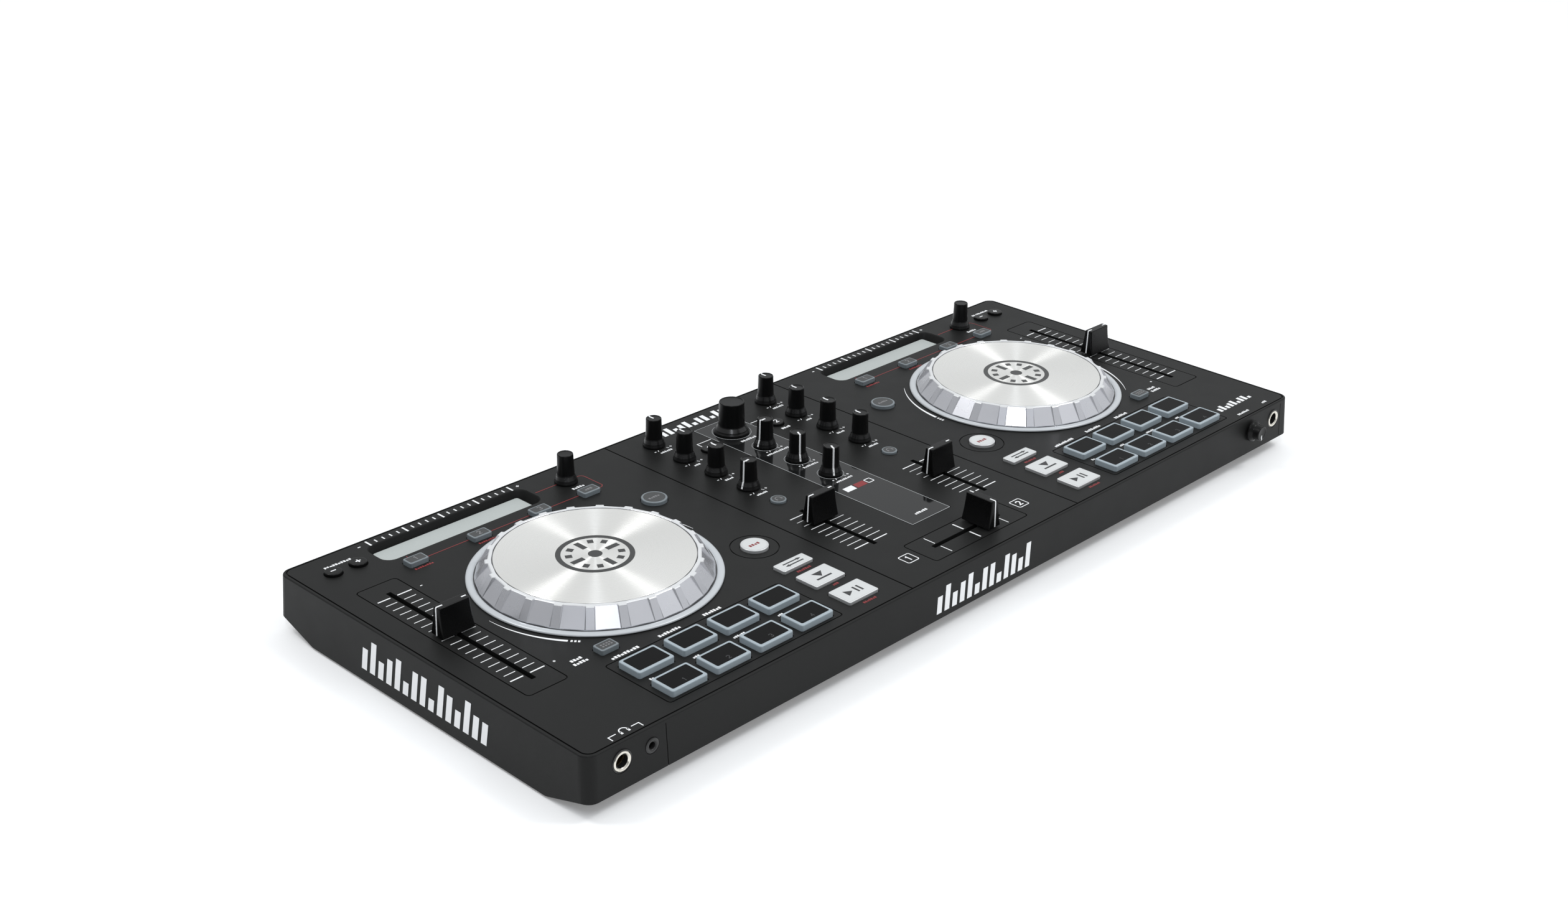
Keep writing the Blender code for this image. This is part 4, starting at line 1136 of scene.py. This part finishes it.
def cross_scale(ink):
    for x in (-22.5, 0.0, 22.5):
        width = 0.85 if x == 0.0 else 0.5
        ink.line([(x, -81.5), (x, -88.8)], width)
        ink.line([(x, -92.7), (x, -100.0)], width)
    for side, text in ((-1, "1"), (1, "2")):
        ink.frame((side * 43.9, -90.0), 3.8, 3.8, 1.0, 0.5)
        sign(ink, text, side * 43.9, -90.0, 4.2, 0.17)


def strip_scale(ink, deck_x):
    pitch = 22.17
    for k in range(5):
        x = deck_x - 60.6 + pitch * k
        ink.line([(x, 105.0), (x, 110.4)], 1.0)
        if k < 4:
            for step in range(1, 5):
                between = x + pitch * step / 5
                ink.line([(between, 106.3), (between, 109.0)], 0.75)
    sign(ink, "-", deck_x - 66.2, 107.4, 2.4, 0.28)
    sign(ink, "+", deck_x + 33.0, 107.4, 2.6, 0.24)


def knob_captions(ink, node_name, length):
    """Minus, tick, tick and plus in an arc in front of a knob, and its caption."""
    x, y, _ = centre_of(node_name)
    sign(ink, "-", x - 5.6, y - 7.3, 1.8, 0.32)
    sign(ink, "+", x + 5.8, y - 7.0, 2.1, 0.27)
    for side in (-1, 1):
        ink.line([(x + side * 3.0, y - 6.5), (x + side * 3.8, y - 8.0)], 0.42)
    caption(ink, x, y - 10.2, length, 1.5)


def jog_arcs(ink, node_name, start, end):
    """Two opposed arcs round a jog wheel, each ending in three slashes."""
    centre = tuple(centre_of(node_name).xy)
    for half_turn in (0.0, 180.0):
        ink.arc(centre, 65.6, start + half_turn, end + half_turn, (0.15, 1.5))
        for k in range(3):
            slash = end + 1.1 + 1.5 * k + half_turn
            ink.arc(centre, 65.6, slash, slash + 0.9, (1.5, 1.5), steps=3)


def deck_printing(deck, side):
    white = Piece("deck_print_" + deck, material=WHITE_INK)
    deck_x = side * DECK_X
    pitch_scale(white, side)
    strip_scale(white, deck_x)
    jog_arcs(white, "jog_wheel_" + deck, *((181.0, 218.0) if side < 0 else (135.0, 175.0)))
    caption(white, side * PITCH_X, 100.4, 15.5)
    caption(white, deck_x + TAP_OFFSET + 0.6, 84.3, 8.0, 1.9)
    caption(white, side * 222.5, -49.3, 6.6, 1.9)
    caption(white, side * 222.5, -52.6, 8.4, 1.9)
    for column, length in enumerate((16.5, 13.5, 11.5)):
        caption(white, deck_x + (column - 1.5) * PAD_PITCH[0], -60.3, length, 1.9)
    for column, length in enumerate((2.6, 4.2, 7.6, 3.6)):
        caption(white, deck_x + (column - 1.5) * PAD_PITCH[0] - 6.5, PAD_Y, length, 1.5)
    white.add("case", "white_print")

    red = Piece("deck_lines_" + deck, material=RED_INK)
    thin = 0.45
    right, top, turn_r = deck_x + 66.0, 94.5, 3.0
    turn = [(right - turn_r + turn_r * math.cos(a), top - turn_r + turn_r * math.sin(a))
            for a in (math.radians(90 - 22.5 * k) for k in range(5))]
    red.line([(deck_x + 34.6, top)] + turn
             + [(right, FX_Y + 1.5), (right - 1.5, FX_Y), (deck_x + TAP_OFFSET + FX_HALF, FX_Y)], thin)
    stops = [deck_x + offset for offset in (TAP_OFFSET, *reversed(FX_OFFSETS))]
    for a, b in zip(stops, stops[1:]):
        red.line([(a - FX_HALF, FX_Y), (b + FX_HALF, FX_Y)], thin)
    red.line([(deck_x + FX_OFFSETS[0], 79.6), (deck_x + FX_OFFSETS[0], 83.4)], thin)
    for offset in FX_OFFSETS[:2]:
        caption(red, deck_x + offset + 0.6, 69.4, 11.0, 1.5)
    for y, length in ((-61.6, 9.5), (-82.6, 4.0), (-104.6, 9.0)):
        caption(red, side * SIDE_KEY_X + 0.8, y, length, 1.5)
    red.add("case", "red_print")


def mixer_printing():
    white = Piece("mixer_print", material=WHITE_INK)
    for channel, side in ((1, -1), (2, 1)):
        channel_scale(white, side)
        for band, length in (("treble", 8.6), ("mid", 4.6), ("bass", 6.0), ("filter", 7.6)):
            knob_captions(white, f"{band}_knob_{channel}", length)
        caption(white, side * 26.3, 62.0, 6.6, 1.8)
        white.line([(side * 15.6, 79.6), (side * 26.0, 79.6), (side * 26.0, 75.2)], 0.5)
    cross_scale(white)
    level_bars(white, -31.5, 32.0, 99.4, 107.6, 14, 0.12)
    white.add("case", "white_print")


def window_printing():
    window = Piece("window_print_and_edge_highlights", material=WHITE_INK)
    for node_name, length in (("master_gain_knob", 17.0), ("cue_mix_knob", 11.5), ("cue_gain_knob", 12.5)):
        knob_captions(window, node_name, length)
        # pale ring round the knob: painted highlight where light catches the edge of the window's cut-out
        window.use(CUTOUT_EDGE_HIGHLIGHT).ring(tuple(centre_of(node_name).xy), 7.0, 7.3)
        window.use(WHITE_INK)
    caption(window, 0.0, 65.3, 11.5, 1.8)
    caption(window, 0.0, -60.5, 9.5)
    window.slab([(-10.5, -19.2), (-3.6, -19.2), (-3.2, -14.6), (-10.1, -14.6)])
    window.frame((8.2, -16.9), 2.1, 2.0, 0.6, 0.55)
    window.use(RED_INK).slab([(-2.6, -19.2), (4.9, -19.2), (5.3, -14.6), (-2.2, -14.6)])
    # pale ring round the browse knob: painted highlight where light catches the edge of the window's cut-out
    window.use(CUTOUT_EDGE_HIGHLIGHT).ring(tuple(centre_of("browse_knob").xy), 10.8, 11.1)
    window.frame((0.0, WINDOW_Y), WINDOW_HALF[0] - 0.3, WINDOW_HALF[1] - 0.3, 0.4, 0.34)
    window.add("case", "white_print")


def corner_printing():
    """A headphone mark at the left corner, captions and level bars at the right one."""
    white = Piece("corner_print", material=WHITE_INK)
    x, y = -PITCH_X, -107.2
    for side in (-1, 1):
        bracket = x + side * 8.5
        white.line([(bracket, -110.3), (bracket, y), (bracket - side * 4.2, y)], 0.5)
    white.arc((x, -107.4), 2.1, -20, 200, (0.55, 0.55), steps=20)
    for cup in (x - 2.0, x + 2.0):
        white.line([(cup, y), (cup, -109.2)], 1.1)
    caption(white, 231.0, -107.4, 11.0, 1.6)
    caption(white, 253.0, -107.4, 4.6, 1.6)
    level_bars(white, 222.5, 255.5, -98.4, -92.6, 9, 0.1)
    white.add("case", "white_print")


def wall_printing():
    """Plain level bars stand where the walls carry a mark."""
    lean = math.atan(FLARE / WALL_DROP)
    side_z, front_z = -15.0, -13.0
    left = Piece("side_wall_bars", (-HALF_X + FLARE * side_z / WALL_DROP, -2.5, side_z), WHITE_INK)
    level_bars(left, -47.5, 47.5, -8.3, 8.3, 15, 0.12)
    left.add("case", "white_print", frame_matrix=wall_frame(math.radians(-90), -lean))
    front = Piece("front_wall_bars", (-12.5, -HALF_Y + FLARE * front_z / WALL_DROP, front_z), WHITE_INK)
    level_bars(front, -37.5, 37.5, -6.6, 6.6, 13, 0.12)
    front.add("case", "white_print", frame_matrix=wall_frame(0.0, -lean))


# ---- carried-over CAD nodes

def dress_nodes():
    """CAD nodes that stay as they are take a finish."""
    finishes = {"main_board": BOARD, "headphone_jack_board": SOCKET_BLACK, "mic_jack_board": SOCKET_BLACK,
                "mixer_window": WINDOW_GLOSS}
    for node_name, material in finishes.items():
        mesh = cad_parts[node_name].data
        mesh.materials.clear()
        mesh.materials.append(material)
        for polygon in mesh.polygons:
            polygon.material_index = 0


# ---- camera, light and floor

def camera():
    azimuth, elevation, roll = (math.radians(a) for a in CAMERA_TURN)
    back = Vector((math.sin(azimuth), -math.cos(azimuth), 0.0)) * math.cos(elevation)
    back.z = math.sin(elevation)
    level = Vector((0, 0, 1)).cross(back).normalized()
    rise = back.cross(level)
    right = level * math.cos(roll) + rise * math.sin(roll)
    up = rise * math.cos(roll) - level * math.sin(roll)
    data = bpy.data.cameras.new("camera")
    data.sensor_width = 36.0
    data.lens = CAMERA_LENS
    data.shift_x, data.shift_y = CAMERA_SHIFT
    data.clip_start = 0.01
    data.clip_end = 100.0
    obj = bpy.data.objects.new("camera", data)
    bpy.context.scene.collection.objects.link(obj)
    turn = Matrix((right, up, back)).transposed().to_4x4()
    obj.matrix_world = Matrix.Translation(at(*CAMERA_TARGET) + back * CAMERA_DISTANCE * MM) @ turn
    bpy.context.scene.camera = obj


def area_light(name, place, size, power, colour=(1.0, 1.0, 1.0)):
    """A rectangular light that points at the middle of the object's foot."""
    data = bpy.data.lights.new(name, "AREA")
    data.shape = "RECTANGLE"
    data.size, data.size_y = size
    data.energy = power
    data.color = colour
    obj = bpy.data.objects.new(name, data)
    bpy.context.scene.collection.objects.link(obj)
    turn = (-Vector(place)).to_track_quat("-Z", "Y")
    obj.matrix_world = Matrix.Translation(place) @ turn.to_matrix().to_4x4()


def lights():
    """Two soft boxes overhead and one narrow light above the camera, under a pale sky."""
    area_light("right_box", (0.85, -0.9, 1.8), (0.5, 0.6), 11.5)
    area_light("left_box", (-0.85, 0.9, 1.8), (0.5, 0.6), 11.5)
    area_light("camera_light", (-0.95, -0.9, 1.5), (0.2, 0.5), 6.0, (0.90, 0.94, 1.0))
    world = bpy.data.worlds.new("studio")
    world.use_nodes = True
    tree = world.node_tree
    direction = node(tree, "TexCoord").outputs["Generated"]
    height = node(tree, "SeparateXYZ", {0: direction}).outputs["Z"]
    sky = node(tree, "MapRange", {"Value": height, "To Min": SKY[0], "To Max": SKY[1]})
    across = node(tree, "VectorMath", {0: direction, 1: SKY_LEAN}, operation="DOT_PRODUCT")
    lean = combine(tree, "ADD", across.outputs["Value"], 1.0)
    strength = combine(tree, "MULTIPLY", sky.outputs["Result"], lean)
    background = tree.nodes["Background"]
    background.inputs["Color"].default_value = (0.965, 0.985, 1.0, 1.0)
    tree.links.new(strength, background.inputs["Strength"])
    bpy.context.scene.world = world
    bpy.context.scene.view_settings.view_transform = "Standard"


def floor():
    paper = surface("floor_paper", (0.86, 0.865, 0.87), 0.75, 0.0, 0.004, 300.0, 0.0,
                    {"Emission Color": (1.0, 1.0, 1.0, 1.0), "Emission Strength": 0.17})
    piece = Piece("floor", (0.0, 0.0, FLOOR_Z), paper)
    piece.disc((0.0, 0.0), 12000.0, -20.0, 0.0, 96)
    piece.make()


# ---- assembly

camera()
lights()
floor()
case_body()
case_base()
feet_and_screws()
touch_strips()
jack_rings()
rear_sockets()
jog_wheels()
knobs()
mic_knob()
keys()
pads()
faders()
for deck_name, deck_side in DECKS:
    deck_printing(deck_name, deck_side)
mixer_printing()
window_printing()
corner_printing()
wall_printing()
dress_nodes()
